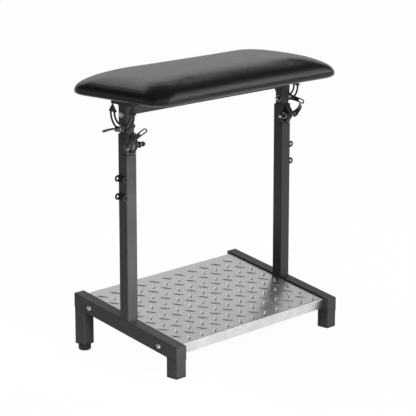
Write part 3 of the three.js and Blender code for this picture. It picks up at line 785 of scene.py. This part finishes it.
def cam_lever(clamp):
    """Cam lever about its pin: a bowed blade with a grip loop, and an eccentric drum."""
    reach = clamp["lever"]
    root, tip, half_sheet = LEVER_ROOT / 2, LEVER_TIP / 2, LEVER_SHEET / 2
    blade = bar("blade", (0, reach), (-half_sheet, half_sheet), (-root, root))
    edit(blade)
    stations = [reach * k / LEVER_STATIONS for k in range(LEVER_STATIONS + 1)]
    for x in stations[1:-1]:
        bpy.ops.mesh.select_all(action="SELECT")
        bpy.ops.mesh.bisect(plane_co=(x, 0, 0), plane_no=(1, 0, 0))
    for x in stations:
        pick(blade, "VERT", lambda v: abs(v.co.x - x) < 1e-5)
        half = root + (tip - root) * (1 - (1 - ramp(x, CAM, reach / 2 - CAM)) ** 2)
        bpy.ops.transform.resize(value=(1, 1, half / root), center_override=(x, 0, 0))
        bow = 4 * clamp["bow"] * (x / reach) * (1 - x / reach)
        bpy.ops.transform.translate(value=(0, bow, 0))

    def end_corner(edge):
        first, last = (v.co for v in edge.verts)
        return min(first.x, last.x) > reach - 1e-5 and abs(first.z - last.z) < 1e-6

    pick(blade, "EDGE", end_corner)
    bpy.ops.mesh.bevel(offset=tip * 0.96, segments=8)
    tidy(blade)
    gap = tip - LOOP_BAR
    combine(blade, stadium(reach - tip - LOOP + 2 * gap, reach - tip, gap, 0.03))
    rim = CAM - 0.0006
    drum = turned("drum", [(rim, -root), (CAM, -root + 0.0006), (CAM, root - 0.0006), (rim, root)], 40)
    combine(blade, settle(drum, Matrix.Translation((0, -CAM_OFFSET, 0))), "UNION")
    slot = (-BOLT - 2 * JOINT_GAP, BOLT + 2 * JOINT_GAP)
    mouth = EYE + 0.0006
    combine(blade, bar("slot", (-0.02, 0.02), (-0.02, 0), slot))
    combine(blade, bar("mouth", (-0.02, mouth), (-0.004, mouth), slot))
    return smooth(soften(blade, 0.00045), 32)


def cam_pin():
    half = LEVER_ROOT / 2 + 0.001
    profile = [(PIN - 0.0007, -half), (PIN, -half + 0.0005), (PIN, half - 0.0005), (PIN - 0.0007, half)]
    return smooth(turned("pin", profile, 32))


# Operators


class DressFrame(bpy.types.Operator):
    """Give every CAD piece that stays its finish"""

    bl_idname = "armrest.dress_frame"
    bl_label = "Dress the frame"

    def execute(self, context):
        for entry in frame["record"]["subparts"]:
            bracket = entry["node"].endswith("eyelet_bracket")
            materials = NODES[entry["node"]].data.materials
            materials.clear()
            materials.append(material("black_steel" if bracket else entry["material_slot"]))
        return {"FINISHED"}


COVER_ROOM = (0.997, 0.994, 0.975)  # how far the form is drawn in, to leave room for the swell
CROWN_FADE = (0.02, 0.03)  # where the easing starts inside the edge, and its run to full
STILL = Vector((0.33, 0.15, 0.02))  # half length, half width and height of the still base
HELD_FADE = (0.004, 0.014)  # where the hold on the sides starts to fade, and its run to none
CLOTH_FRAMES = 20
CLOTH = {
    "quality": 6, "tension_stiffness": 45, "compression_stiffness": 45,
    "bending_stiffness": 12, "vertex_group_mass": "held", "use_pressure": True,
}


def ease_crown(piece, rounds):
    """Rounds the crown over where its slopes meet above the corners."""
    half = (PAD_HIGH - PAD_LOW) / 2
    crown = piece.vertex_groups.new(name="crown")
    for vertex in piece.data.vertices:
        x, y, z = vertex.co
        inset = min(half.x - abs(x - MID_X), half.y - abs(y))
        above = z > PAD_LOW.z + half.z
        crown.add([vertex.index], ramp(inset, *CROWN_FADE) if above else 0, "REPLACE")
    modify(piece, "SMOOTH", factor=0.5, iterations=rounds, vertex_group="crown")
    piece.vertex_groups.clear()


def press_out(context, piece, settings):
    """Inflates the cover over its flat base, which stays still."""
    held = piece.vertex_groups.new(name="held")
    before = [(vertex.co.copy(), vertex.normal.copy()) for vertex in piece.data.vertices]
    for index, (point, _) in enumerate(before):
        rise = point.z - PAD_LOW.z
        inner = abs(point.x - MID_X) < STILL.x and abs(point.y) < STILL.y and rise < STILL.z
        held.add([index], 1 if inner else 1 - ramp(rise, *HELD_FADE), "REPLACE")
    cloth = piece.modifiers.new("Cloth", "CLOTH")
    for key, value in CLOTH.items():
        setattr(cloth.settings, key, value)
    cloth.settings.uniform_pressure_force = settings.pressure
    cloth.settings.effector_weights.gravity = 0
    cloth.point_cache.frame_end = CLOTH_FRAMES
    for number in range(1, CLOTH_FRAMES + 1):
        context.scene.frame_set(number)
    activate(piece)
    bpy.ops.object.modifier_apply(modifier=cloth.name)
    context.scene.frame_set(1)
    swells = [
        min(settings.swell, max(0, (vertex.co - start).dot(normal)))
        for vertex, (start, normal) in zip(piece.data.vertices, before)
    ]
    swells = evened(piece, swells, settings.evening)
    for vertex, (start, normal), swell in zip(piece.data.vertices, before, swells):
        move = vertex.co - start
        slide = (move - normal * move.dot(normal)) * settings.slip
        if slide.length > settings.swell / 2:
            slide *= settings.swell / 2 / slide.length
        vertex.co = start + normal * swell + slide
    piece.vertex_groups.clear()


def evened(piece, values, rounds):
    """Averages each point's value with its neighbours', as the foam's skin would."""
    joined = [[] for _ in values]
    for edge in piece.data.edges:
        first, second = edge.vertices
        joined[first].append(second)
        joined[second].append(first)
    for _ in range(rounds):
        values = [
            (own + sum(values[other] for other in near) / max(1, len(near))) / 2
            for own, near in zip(values, joined)
        ]
    return values


class MakeCushion(bpy.types.Operator):
    """Press the stuffed cushion out and cover it"""

    bl_idname = "armrest.make_cushion"
    bl_label = "Make the cushion"

    def execute(self, context):
        settings = context.scene.armrest_pad
        piece = mesh_of("pad_cushion", "stuffed_cushion")
        centre = (PAD_LOW + PAD_HIGH) / 2
        edit(piece)
        bpy.ops.transform.resize(value=COVER_ROOM, center_override=(centre.x, centre.y, PAD_LOW.z))
        activate(piece)
        piece.data.remesh_voxel_size = settings.voxel
        bpy.ops.object.voxel_remesh()
        ease_crown(piece, settings.easing)
        press_out(context, piece, settings)
        modify(piece, "SUBSURF", levels=1, render_levels=1)
        activate(piece)
        bpy.ops.object.shade_smooth()
        finish(piece, "pad", "leatherette", "pad_cushion")
        return {"FINISHED"}


HEM_SHEET = 0.0009
HEM_GAP = 0.0001  # between the hem and the board
HEM_MARGIN = 0.002  # how far the hem stands out past the board, under the cushion
STAPLE_WIRE = 0.0006  # half the wire's width
STAPLE_DROP = 0.0013  # the crowns' middle below the board
STAPLE_MARGIN = 0.006  # from the end of a side's straight run
STAPLE_LEAN = 9


def make_staples(settings, z, size):
    """One staple, copied along the four hems."""
    half, wire = settings.staple_crown / 2, (-STAPLE_WIRE, STAPLE_WIRE)
    staple = bar("staple", (-half, half), wire, wire)
    edit(staple)
    pick(staple, "VERT", lambda v: abs(v.co.x) > half * 0.9)
    bpy.ops.transform.translate(value=(0, 0, STAPLE_WIRE))
    soften(tidy(staple), 0.00025, 1)
    copies = []
    for turn, far, run in ((0, size.y / 2, size.x / 2), (90, size.x / 2, size.y / 2)):
        edge, run = far - settings.hem_width / 2, run - BOARD_CORNER - STAPLE_MARGIN
        steps = int(2 * run / settings.staple_pitch)
        for end in (-1, 1):
            for k in range(steps + 1):
                x, y = -run + 2 * run * k / steps, end * edge
                if turn:
                    x, y = y, x
                lean = turn_about("Z", turn + STAPLE_LEAN * math.sin(k * 2.3 + end))
                place = Matrix.Translation((MID_X + x, y, z)) @ lean
                copies.append(copy_of(staple, f"staple_{len(copies)}", place))
    discard(staple)
    finish(smooth(join("hem_staples", copies)), "pad", "zinc_steel")


class MakeHem(bpy.types.Operator):
    """Turn the cover's hem under the board and staple it"""

    bl_idname = "armrest.make_hem"
    bl_label = "Make the hem"

    def execute(self, context):
        settings = context.scene.armrest_pad
        low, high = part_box("pad_board")
        size = high - low
        piece = begin(
            "cover_hem", bpy.ops.mesh.primitive_plane_add, size=1,
            location=(MID_X, 0, low.z - HEM_GAP),
        )
        width, depth = (reach + 2 * HEM_MARGIN for reach in size.xy)
        bpy.ops.transform.resize(value=(width, depth, 1))
        edit(close(piece))
        bpy.ops.mesh.select_mode(type="VERT")
        bpy.ops.mesh.bevel(offset=BOARD_CORNER, segments=9, affect="VERTICES")
        bpy.ops.mesh.select_mode(type="FACE")
        bpy.ops.mesh.select_all(action="SELECT")
        bpy.ops.mesh.inset(thickness=settings.hem_width)
        bpy.ops.mesh.delete(type="FACE")
        bpy.ops.object.mode_set(mode="OBJECT")
        faces_down = sum(face.normal.z for face in piece.data.polygons) < 0
        modify(piece, "SOLIDIFY", thickness=HEM_SHEET, offset=1 if faces_down else -1)
        soften(piece, 0.0003, 2, 50)
        finish(smooth(tidy(piece)), "pad", "leatherette")
        make_staples(settings, low.z - STAPLE_DROP, size)
        return {"FINISHED"}


RIVET_SHANK = 0.0021
RIVET_DEPTH = 0.003


class MakeRivets(bpy.types.Operator):
    """Rivet the eyelet brackets to the posts"""

    bl_idname = "armrest.make_rivets"
    bl_label = "Make the rivets"

    def execute(self, context):
        settings = context.scene.armrest_hardware
        radius, height = settings.rivet_radius, settings.rivet_height
        seat = TUBE / 2 + JOINT_GAP + BRACKET_SHEET
        profile = [
            (RIVET_SHANK, -RIVET_DEPTH), (RIVET_SHANK, 0), (radius * 0.94, 0),
            (radius, height * 0.3),
        ]
        profile += dome(radius, height * 0.3, height * 0.7, (0.35, 0.7, 1.0))
        profile += [(radius * 0.34, height), (radius * 0.3, height * 0.55), (0, height * 0.5)]
        rivet = smooth(turned("rivet", profile, 40))
        for name, side in SIDES:
            for level in ("upper", "lower"):
                z = middle(f"{name}_{level}_eyelet_bracket").z
                place = along((side, 0, 0), (POST_X[name] + side * seat, 0, z))
                put(rivet, f"{name}_{level}_rivet", place, "base", "black_steel")
        discard(rivet)
        return {"FINISHED"}


BOLT_TIP = 0.0023
BOLT_THREAD = 0.0115  # how far the frame bolts are threaded
BOLT_SOCKET = 0.004  # across the flats of the hexagon socket
SOCKET_FLOOR = 0.0016  # over the head's seat
DOME_RISE = 0.0036
NUT_CLEARANCE = 0.0001
NUT_WASHER = 0.0012
NUT_BORE = 0.0061


def frame_bolt(settings, tip, face):
    """A threaded bolt from its tip to the face that its hexagon-socket head sits on."""
    thread_end = tip + BOLT_THREAD
    profile = [(BOLT_TIP, tip)]
    profile += thread(FRAME_BOLT, tip + 0.0002, thread_end, settings.thread_pitch * 0.8)
    profile += [
        (FRAME_BOLT, thread_end + 0.001), (FRAME_BOLT, face), (FRAME_BOLT_HEAD - 0.0002, face),
        (FRAME_BOLT_HEAD, face + 0.0004),
    ]
    profile += dome(FRAME_BOLT_HEAD, face, DOME_RISE, (0.3, 0.6, 0.9, 1.1))
    profile += [(0.0022, face + DOME_RISE - 0.0001)]
    socket = prism("socket", 6, BOLT_SOCKET, face + SOCKET_FLOOR, face + 0.006)
    return smooth(combine(turned("domed_bolt", profile), socket), 32)


def frame_nut(settings, seat):
    washer = ring("washer", 0.0032, 0.0062, seat - NUT_WASHER, seat, 0.0002)
    top = seat - NUT_WASHER - NUT_CLEARANCE
    low = top - settings.nut_height
    nut = prism("nut", 6, settings.nut_width, low, top)
    soften(nut, 0.0006)
    collar = ring("collar", 0.0031, 0.0043, low - 0.0012, low + 0.0005, 0.0004)
    combine(nut, prism("bore", 24, NUT_BORE, low - 0.002, top + 0.002))
    return smooth(join("lock_nut", [nut, washer, collar]), 32)


class MakeFrameFixings(bpy.types.Operator):
    """Make the frame bolts' domed heads, threads and locking nuts"""

    bl_idname = "armrest.make_frame_fixings"
    bl_label = "Make the frame fixings"

    def execute(self, context):
        settings = context.scene.armrest_hardware
        inner = -TUBE / 2 - TREAD_SHEET
        bolt = frame_bolt(settings, inner - FRAME_BOLT_TAIL, TUBE / 2 + JOINT_GAP)
        nut = frame_nut(settings, inner - 0.0004)
        for name, side in SIDES:
            for end in ("front", "rear"):
                node = f"{name}_{end}_frame_bolt"
                centre = middle(node)
                place = along((side, 0, 0), (POST_X[name], centre.y, centre.z))
                put(bolt, f"{name}_{end}_domed_bolt", place, "base", "zinc_steel", node)
                put(nut, f"{name}_{end}_lock_nut", place, "base", "zinc_steel")
        discard(bolt, nut)
        return {"FINISHED"}


SCREW_SHANK = 0.0021
SCREW_LENGTH = 0.009
SCREW_RISE = 0.0021  # how far the head stands out past its rim
CROSS_REACH = 0.0021
CROSS_HALF = 0.0004


class MakePadScrews(bpy.types.Operator):
    """Make the screws that hold the quadrant plates to the board"""

    bl_idname = "armrest.make_pad_screws"
    bl_label = "Make the pad screws"

    def execute(self, context):
        radius = context.scene.armrest_hardware.screw_radius
        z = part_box("pad_board")[0].z - JOINT_GAP - PLATE_SHEET - 0.0001
        rim = -0.0004
        profile = [
            (SCREW_SHANK, SCREW_LENGTH), (SCREW_SHANK, 0), (radius * 0.95, 0), (radius, rim)
        ]
        profile += dome(radius, rim, -SCREW_RISE, (0.4, 0.8, 1.1)) + [(radius * 0.3, -0.0024)]
        screw = turned("pad_screw", profile, 40)
        for x, y in ((CROSS_REACH, CROSS_HALF), (CROSS_HALF, CROSS_REACH)):
            combine(screw, bar("cross", (-x, x), (-y, y), (-0.004, -0.0012)))
        smooth(screw, 32)
        for name, side in SIDES:
            x = POST_X[name] + side * (PLATE_FACE - PAD_SCREW_INSET)
            for label, end in (("front", -1), ("rear", 1)):
                place = Matrix.Translation((x, end * PAD_SCREW_Y, z))
                put(screw, f"{name}_{label}_pad_screw", place, "pad", "zinc_steel")
        discard(screw)
        return {"FINISHED"}


def make_clamp(settings, kind, clamp):
    disc = settings.washer_radius
    washer = clamp["seat"] + JOINT_GAP
    barrel = washer + WASHER + JOINT_GAP
    steady = {
        "bolt": (clamp_bolt(clamp, settings.thread_pitch), "zinc_steel"),
        "washer": (clamp_sleeve(disc, washer, WASHER, 0.0003), "zinc_steel"),
        "barrel": (clamp_sleeve(BARREL, barrel, clamp["barrel"], 0.0007), "black_steel"),
        "nut": (clamp_nut(clamp), "black_steel"),
    }
    if clamp["spacer"]:
        low = clamp["nut_seat"] - JOINT_GAP - clamp["spacer"]
        sleeve = clamp_sleeve(BARREL, low, clamp["spacer"], 0.0006)
        steady["spacer"] = (sleeve, "black_steel")
    inner = clamp_sleeve(disc, inner_seat(clamp) - WASHER + 0.0001, WASHER - 0.0002, 0.0003)
    lever, pin = cam_lever(clamp), cam_pin()
    for name, side in SIDES:
        start = f"{name}_{kind}"
        place, body = clamp_place(kind, name, side), clamp["body"]
        for part, (piece, slot) in steady.items():
            put(piece, f"{start}_{part}_piece", place, body, slot, f"{start}_clamp_{part}")
        put(inner, f"{start}_inner_washer", place, body, "zinc_steel")
        swung = place @ Matrix.Translation((0, pin_reach(clamp), 0))
        swung = swung @ turn_about("Z", clamp["open"][name])
        body = f"{start}_lever"
        put(
            lever, f"{start}_cam_lever", swung, body, "black_steel", f"{start}_clamp_lever",
            look="lever_steel",
        )
        put(pin, f"{start}_cam_pin", swung, body, "zinc_steel", f"{start}_lever_pin")
    discard(*(piece for piece, _ in steady.values()), inner, lever, pin)


class MakeClamps(bpy.types.Operator):
    """Make the four quick-release clamps"""

    bl_idname = "armrest.make_clamps"
    bl_label = "Make the clamps"

    def execute(self, context):
        for kind, clamp in CLAMPS.items():
            make_clamp(context.scene.armrest_hardware, kind, clamp)
        return {"FINISHED"}


PIVOT_HEXAGON = 0.0118  # across its flats
PIVOT_RISE = (0.001, 0.005)  # the hexagon's foot and top over the plate


class MakePivots(bpy.types.Operator):
    """Make the hexagon-headed pivot bolts"""

    bl_idname = "armrest.make_pivots"
    bl_label = "Make the pivot bolts"

    def execute(self, context):
        face, tip = PLATE_FACE + JOINT_GAP, PLATE_FACE - PIVOT_DEPTH
        profile = [
            (PIVOT_BOLT - 0.0006, tip), (PIVOT_BOLT, tip + 0.0005), (PIVOT_BOLT, face),
            (PIVOT_HEAD - 0.0001, face), (PIVOT_HEAD, face + 0.0004), (PIVOT_HEAD, face + 0.0008),
            (PIVOT_HEAD - 0.0006, face + 0.0012),
        ]
        shank = turned("shank", profile, 40)
        head = prism("head", 6, PIVOT_HEXAGON, *(face + rise for rise in PIVOT_RISE))
        soften(head, 0.0007)
        bolt = smooth(join("pivot", [shank, head]), 32)
        for name, side in SIDES:
            node = f"{name}_pivot_bolt"
            place = along((side, 0, 0), (POST_X[name], 0, middle(node).z))
            put(bolt, f"{name}_hexagon_pivot", place, "lift", "zinc_steel", node)
        discard(bolt)
        return {"FINISHED"}


class MakeFeet(bpy.types.Operator):
    """Make the round levelling feet with their threaded stems"""

    bl_idname = "armrest.make_feet"
    bl_label = "Make the levelling feet"

    def execute(self, context):
        top, end = FOOT_TOP, FOOT_STEM_TOP
        profile = [
            (0.0118, 0), (0.0140, 0.0004), (0.0155, 0.0015), (0.0163, 0.0030), (0.0165, 0.0045),
            (0.0165, top - 0.0036), (0.0161, top - 0.0018), (0.0150, top - 0.0006), (0.0138, top),
            (0.0075, top), (0.0070, top - 0.0008), (0.0062, top - 0.0008),
        ]
        pad = smooth(turned("foot_pad", profile, 72), 38)
        pitch = context.scene.armrest_hardware.thread_pitch
        profile = [(FOOT_STEM - 0.0004, top - 0.003)]
        profile += thread(FOOT_STEM, top - 0.0025, end - 0.0015, pitch)
        profile += [(FOOT_STEM, end - 0.0008), (FOOT_STEM - 0.0008, end)]
        stem = smooth(turned("foot_stem", profile, 32))
        for name, _ in SIDES:
            body, node = f"{name}_foot", f"{name}_levelling_foot"
            centre = middle(node)
            place = Matrix.Translation((centre.x, centre.y, 0))
            put(pad, f"{name}_foot_pad", place, body, "black_plastic", node)
            put(stem, f"{name}_foot_stem", place, body, "zinc_steel")
        discard(pad, stem)
        return {"FINISHED"}


RIPPLES = 22
FLUSH = 0.00005  # how far the ground welds stay inside the tubes' faces
FILL = (-0.0004, 0.0001)  # the ground welds' foot and top about the joint


def ground_welds(name):
    """Fills the joints that are ground flush, level with the tubes' faces."""
    low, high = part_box(f"{name}_side_rail")
    spans = [
        (*(corner.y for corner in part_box(f"{name}_{leg}_leg")), -RAIL_DEPTH)
        for leg in ("front", "rear")
    ]
    fills = []
    for first, last, upper in spans + [(-POST_HALF, POST_HALF, JOINT_GAP)]:
        fill = bar(
            "fill", (low.x + FLUSH, high.x - FLUSH), (first + FLUSH, last - FLUSH), FILL,
        )
        edit(fill)
        for station in {round(v.co.y, 6) for v in fill.data.vertices}:
            pick(fill, "VERT", lambda v: abs(v.co.y - station) < 1e-5)
            rise = RAIL_TOP + station * SLOPE + upper / math.cos(INCLINE)
            bpy.ops.transform.translate(value=(0, 0, rise))
        fills.append(tidy(fill))
    return join(f"{name}_ground_welds", fills)


def weld_bead(radius, reach):
    """A rippled bead along X, tapered at its ends."""
    profile = [
        (radius * (1 if k % 2 else 0.8), 2 * reach * k / RIPPLES - reach)
        for k in range(RIPPLES + 1)
    ]
    profile[0] = (radius * 0.35, -reach)
    profile[-1] = (radius * 0.35, reach)
    piece = settle(turned("bead", profile, 14), along((1, 0, 0), (0, 0, 0)))
    return modify(piece, "SUBSURF", levels=1, render_levels=1)


class MakeWelds(bpy.types.Operator):
    """Lay the weld beads between the tubes"""

    bl_idname = "armrest.make_welds"
    bl_label = "Lay the welds"

    def execute(self, context):
        bead = weld_bead(context.scene.armrest_hardware.bead, TUBE / 2 - 0.0015)
        drop = RAIL_DEPTH / math.cos(INCLINE)
        for name, _ in SIDES:
            front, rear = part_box(f"{name}_front_leg")[1].y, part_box(f"{name}_rear_leg")[0].y
            beads = []
            seams = (-POST_HALF, JOINT_GAP), (POST_HALF, JOINT_GAP), (front, -drop), (rear, -drop)
            for y, rise in seams:
                place = Matrix.Translation((POST_X[name], y, RAIL_TOP + SLOPE * y + rise))
                beads.append(copy_of(bead, "bead", place))
            finish(smooth(join(f"{name}_weld_beads", beads), 60), "base", "painted_steel")
            finish(ground_welds(name), "base", "painted_steel")
        discard(bead)
        return {"FINISHED"}


STUD_ROOT = 0.0003  # how far the studs reach into the sheet


def tread_stud(settings):
    """The cap of an ellipsoid, cut off a little below the sheet's top."""
    wide = 2 * math.cos(math.radians(30))  # the cap's length over the ellipsoid's half axis
    stud = begin(
        "stud", bpy.ops.mesh.primitive_uv_sphere_add, segments=20, ring_count=16, radius=1,
        scale=(settings.reach / wide, settings.width / wide, 2 * settings.height),
        location=(0, 0, -settings.height),
    )
    edit(close(stud))
    bpy.ops.mesh.bisect(
        plane_co=(0, 0, -STUD_ROOT), plane_no=(0, 0, 1), clear_inner=True, use_fill=True
    )
    return smooth(tidy(stud), 50)


class MakeStuds(bpy.types.Operator):
    """Raise the lozenges of the tread sheet"""

    bl_idname = "armrest.make_studs"
    bl_label = "Make the tread studs"

    def execute(self, context):
        stud = tread_stud(context.scene.armrest_studs)
        (x, y), (along_x, along_y) = STUD_START, STUD_PITCH
        families = []
        for start, turn in (((x, y), -45), ((x + along_x / 2, y - along_y / 2), 45)):
            place = Matrix.Translation((*start, 0)) @ turn_about("Z", turn)
            family = copy_of(stud, "family", place)
            for offset, count in zip(((along_x, 0, 0), (0, along_y, 0)), STUD_COUNT):
                modify(
                    family, "ARRAY", count=count, use_relative_offset=False,
                    use_constant_offset=True, constant_offset_displace=offset,
                )
            families.append(family)
        place = Matrix.Translation((MID_X, 0, RAIL_TOP)) @ Matrix.Rotation(INCLINE, 4, "X")
        place = place @ Matrix.Translation((0, 0, -TREAD_DROP * math.cos(INCLINE)))
        finish(settle(join("tread_studs", families), place), "base", "tread_sheet")
        discard(stud)
        return {"FINISHED"}


CAMERA_PLACE = (-3.29933, -3.07259, 1.41589)
CAMERA_RIGHT = (0.67992778, -0.73327908, 0)
CAMERA_UP = (0.16780623, 0.15559713, 0.9734632)
FRONT_PLACE = (2.0, -2.2, 2.15)
FRONT_WIDTHS = (5.1, 3.9, 2.7)  # of three softboxes in one place, even at one end


def lay_floor(settings):
    """A white floor that keeps its shadow, with what the metal reflects of it painted on."""
    piece = close(begin(
        "studio_floor", bpy.ops.mesh.primitive_plane_add, size=settings.floor_size
    ))
    finish = Finish("floor")
    path = finish.node("ShaderNodeLightPath")
    glossy = path["Is Glossy Ray"]
    seen = path["Is Camera Ray"].larger(glossy).larger(path["Is Transmission Ray"])
    finish.set(Base_Color=(settings.floor_tone,) * 3, Roughness=0.9, Specular_IOR_Level=0.1)
    x, y, _ = finish.axes(finish.place)
    west, south = 0 - x, 0 - y
    # Painted shade on the floor's left, seen only in reflections: the rails' and posts' outer sides
    # reflect it
    beside = west.band(0.2, 0.6) * (1 - y.band(0.4, 0.6)) * (y.band(-0.05, 0.2) * 0.5 + 0.5)
    left = west.band(0.3, 1.1).larger(beside) * glossy
    # A painted highlight on the floor in front of the left post, seen only in reflections
    card = 1 - (x + y * 1.08).band(-0.28, -0.2)
    card = card * south.band(0.1, 0.3) * (1 - south.band(1.25, 1.5))
    # The strip that the tread plate's front flange reflects, left undimmed, and a painted shadow under
    # the plate, both seen only in reflections
    strip = south.band(0.08, 0.2) * (1 - south.band(0.5, 0.6))
    under = (1 - (x * x + y * y).band(0.06, 0.8)) * (1 - y.band(0, 0.25)) * (1 - strip)
    under = under * (1 - west.band(0.24, 0.38))
    # Painted shade in reflections: a little everywhere but the strip, and the painted shadow under the
    # plate
    painted_shade = (1 - card) * ((1 - strip) * 0.1 + under * 0.8)
    glow = finish.node(
        "ShaderNodeEmission",
        {
            "Color": finish.blend(left, (1, 1, 1), (settings.flag,) * 3),
            "Strength": 1 + glossy * (card * settings.card - painted_shade),
        },
    )
    shader = Flow(finish, finish.shader.outputs[0])
    mixed = finish.node("ShaderNodeMixShader", {0: seen * 0.97, 1: shader, 2: glow["Emission"]})
    finish.surface(mixed["Shader"])
    piece.data.materials.append(finish.material)


def paint_backdrop(context, settings):
    """White where it is seen, and for reflections a wall that rises to a dark ceiling."""
    world = bpy.data.worlds.new("studio")
    world.use_nodes = True
    context.scene.world = world
    sky = Backdrop(world)
    path = sky.node("ShaderNodeLightPath")
    x, y, z = sky.axes(sky.direction)
    ceiling = (z + x * 0.28 + (x - 0.715).larger(0) * 0.9).band(0.735, 0.785)
    wall = 0.44 + z * z * 3.2
    left = (0 - x).band(-0.4, 0.2)
    side = (1 - z.band(0.05, 0.5)) * settings.flag + settings.dome
    behind = (0 - y).band(0.15, 0.5) * z.band(0.1, 0.35) * 0.4
    studio = (wall * (1 - ceiling) + ceiling * settings.dome) * (1 - left) + (side + behind) * left
    glossy = path["Is Glossy Ray"]
    seen = path["Is Camera Ray"].larger(path["Is Transmission Ray"])
    hidden = glossy * studio + (1 - glossy) * settings.ambient
    strength = seen * settings.backdrop + (1 - seen) * hidden
    tone = sky.node("ShaderNodeBackground", {"Color": (1, 1, 1), "Strength": strength})
    sky.surface(tone["Background"])


def add_softbox(name, place, target, size, power, roll=0, shift=0):
    """An area light aimed at a point, rolled and then shifted along its own width."""
    clear()
    bpy.ops.object.light_add(type="AREA", location=place)
    lamp = bpy.context.active_object
    lamp.name = name
    lamp.data.shape = "RECTANGLE"
    lamp.data.size, lamp.data.size_y = size
    lamp.data.energy = power
    aim = (Vector(target) - Vector(place)).to_track_quat("-Z", "Y").to_matrix()
    turn = aim @ Matrix.Rotation(math.radians(roll), 3, "Z")
    lamp.rotation_euler = turn.to_euler()
    lamp.location += turn.col[0] * shift
    return lamp


def set_camera(context, settings):
    clear()
    bpy.ops.object.camera_add(location=CAMERA_PLACE)
    camera = bpy.context.active_object
    right, up = Vector(CAMERA_RIGHT), Vector(CAMERA_UP)
    camera.matrix_world = basis(right, up, right.cross(up), CAMERA_PLACE)
    camera.data.sensor_fit = "HORIZONTAL"
    camera.data.sensor_width = 36
    camera.data.lens = settings.lens * 1000
    camera.data.clip_end = 50
    context.scene.camera = camera


class SetStage(bpy.types.Operator):
    """Set the floor, the softboxes, the backdrop and the camera"""

    bl_idname = "armrest.set_stage"
    bl_label = "Set the stage"

    def execute(self, context):
        settings = context.scene.armrest_stage
        context.scene.view_settings.view_transform = "Standard"
        lay_floor(settings)
        paint_backdrop(context, settings)
        key = add_softbox("overhead", (0.2, 0.4, 2.8), (0, 0, 0.4), (2.2, 1.6), settings.key)
        mean = sum(FRONT_WIDTHS) / len(FRONT_WIDTHS)
        for number, width in enumerate(FRONT_WIDTHS, 1):
            add_softbox(
                f"front_{number}", FRONT_PLACE, (0, 0, 0.65), (width, 2.3),
                settings.fill / 3 * width / mean, roll=18, shift=(mean - width) / 2,
            )
        low = add_softbox("low", (-0.4, -1.0, 0.32), (-0.36, 0, 0.3), (0.3, 0.3), settings.low)
        low.data.spread = math.radians(48)
        key.visible_glossy = low.visible_glossy = False
        set_camera(context, settings)
        return {"FINISHED"}


class ArmrestPanel(bpy.types.Panel):
    """The armrest's steps and sizes"""

    bl_idname = "VIEW3D_PT_armrest"
    bl_label = "Armrest"
    bl_space_type = "VIEW_3D"
    bl_region_type = "UI"
    bl_category = "Armrest"

    def draw(self, context):
        for step in STEPS:
            self.layout.operator(step.bl_idname)
        for key, group in SETTINGS.items():
            box = self.layout.box()
            settings = getattr(context.scene, key)
            for name in group.__annotations__:
                box.prop(settings, name)


STEPS = (
    DressFrame, MakeCushion, MakeHem, MakeRivets, MakeFrameFixings, MakePadScrews, MakeClamps,
    MakePivots, MakeFeet, MakeWelds, MakeStuds, SetStage,
)
SETTINGS = {
    "armrest_pad": PadSettings,
    "armrest_hardware": HardwareSettings,
    "armrest_studs": StudSettings,
    "armrest_finish": FinishSettings,
    "armrest_stage": StageSettings,
}
CLASSES = (*SETTINGS.values(), *STEPS, ArmrestPanel)


def register():
    for item in CLASSES:
        bpy.utils.register_class(item)
    for key, group in SETTINGS.items():
        setattr(bpy.types.Scene, key, bpy.props.PointerProperty(type=group))


def unregister():
    for key in SETTINGS:
        delattr(bpy.types.Scene, key)
    for item in reversed(CLASSES):
        bpy.utils.unregister_class(item)


def main():
    register()
    for step in STEPS:
        family, name = step.bl_idname.split(".")
        getattr(getattr(bpy.ops, family), name)()
    clear()


if __name__ == "__main__":
    main()
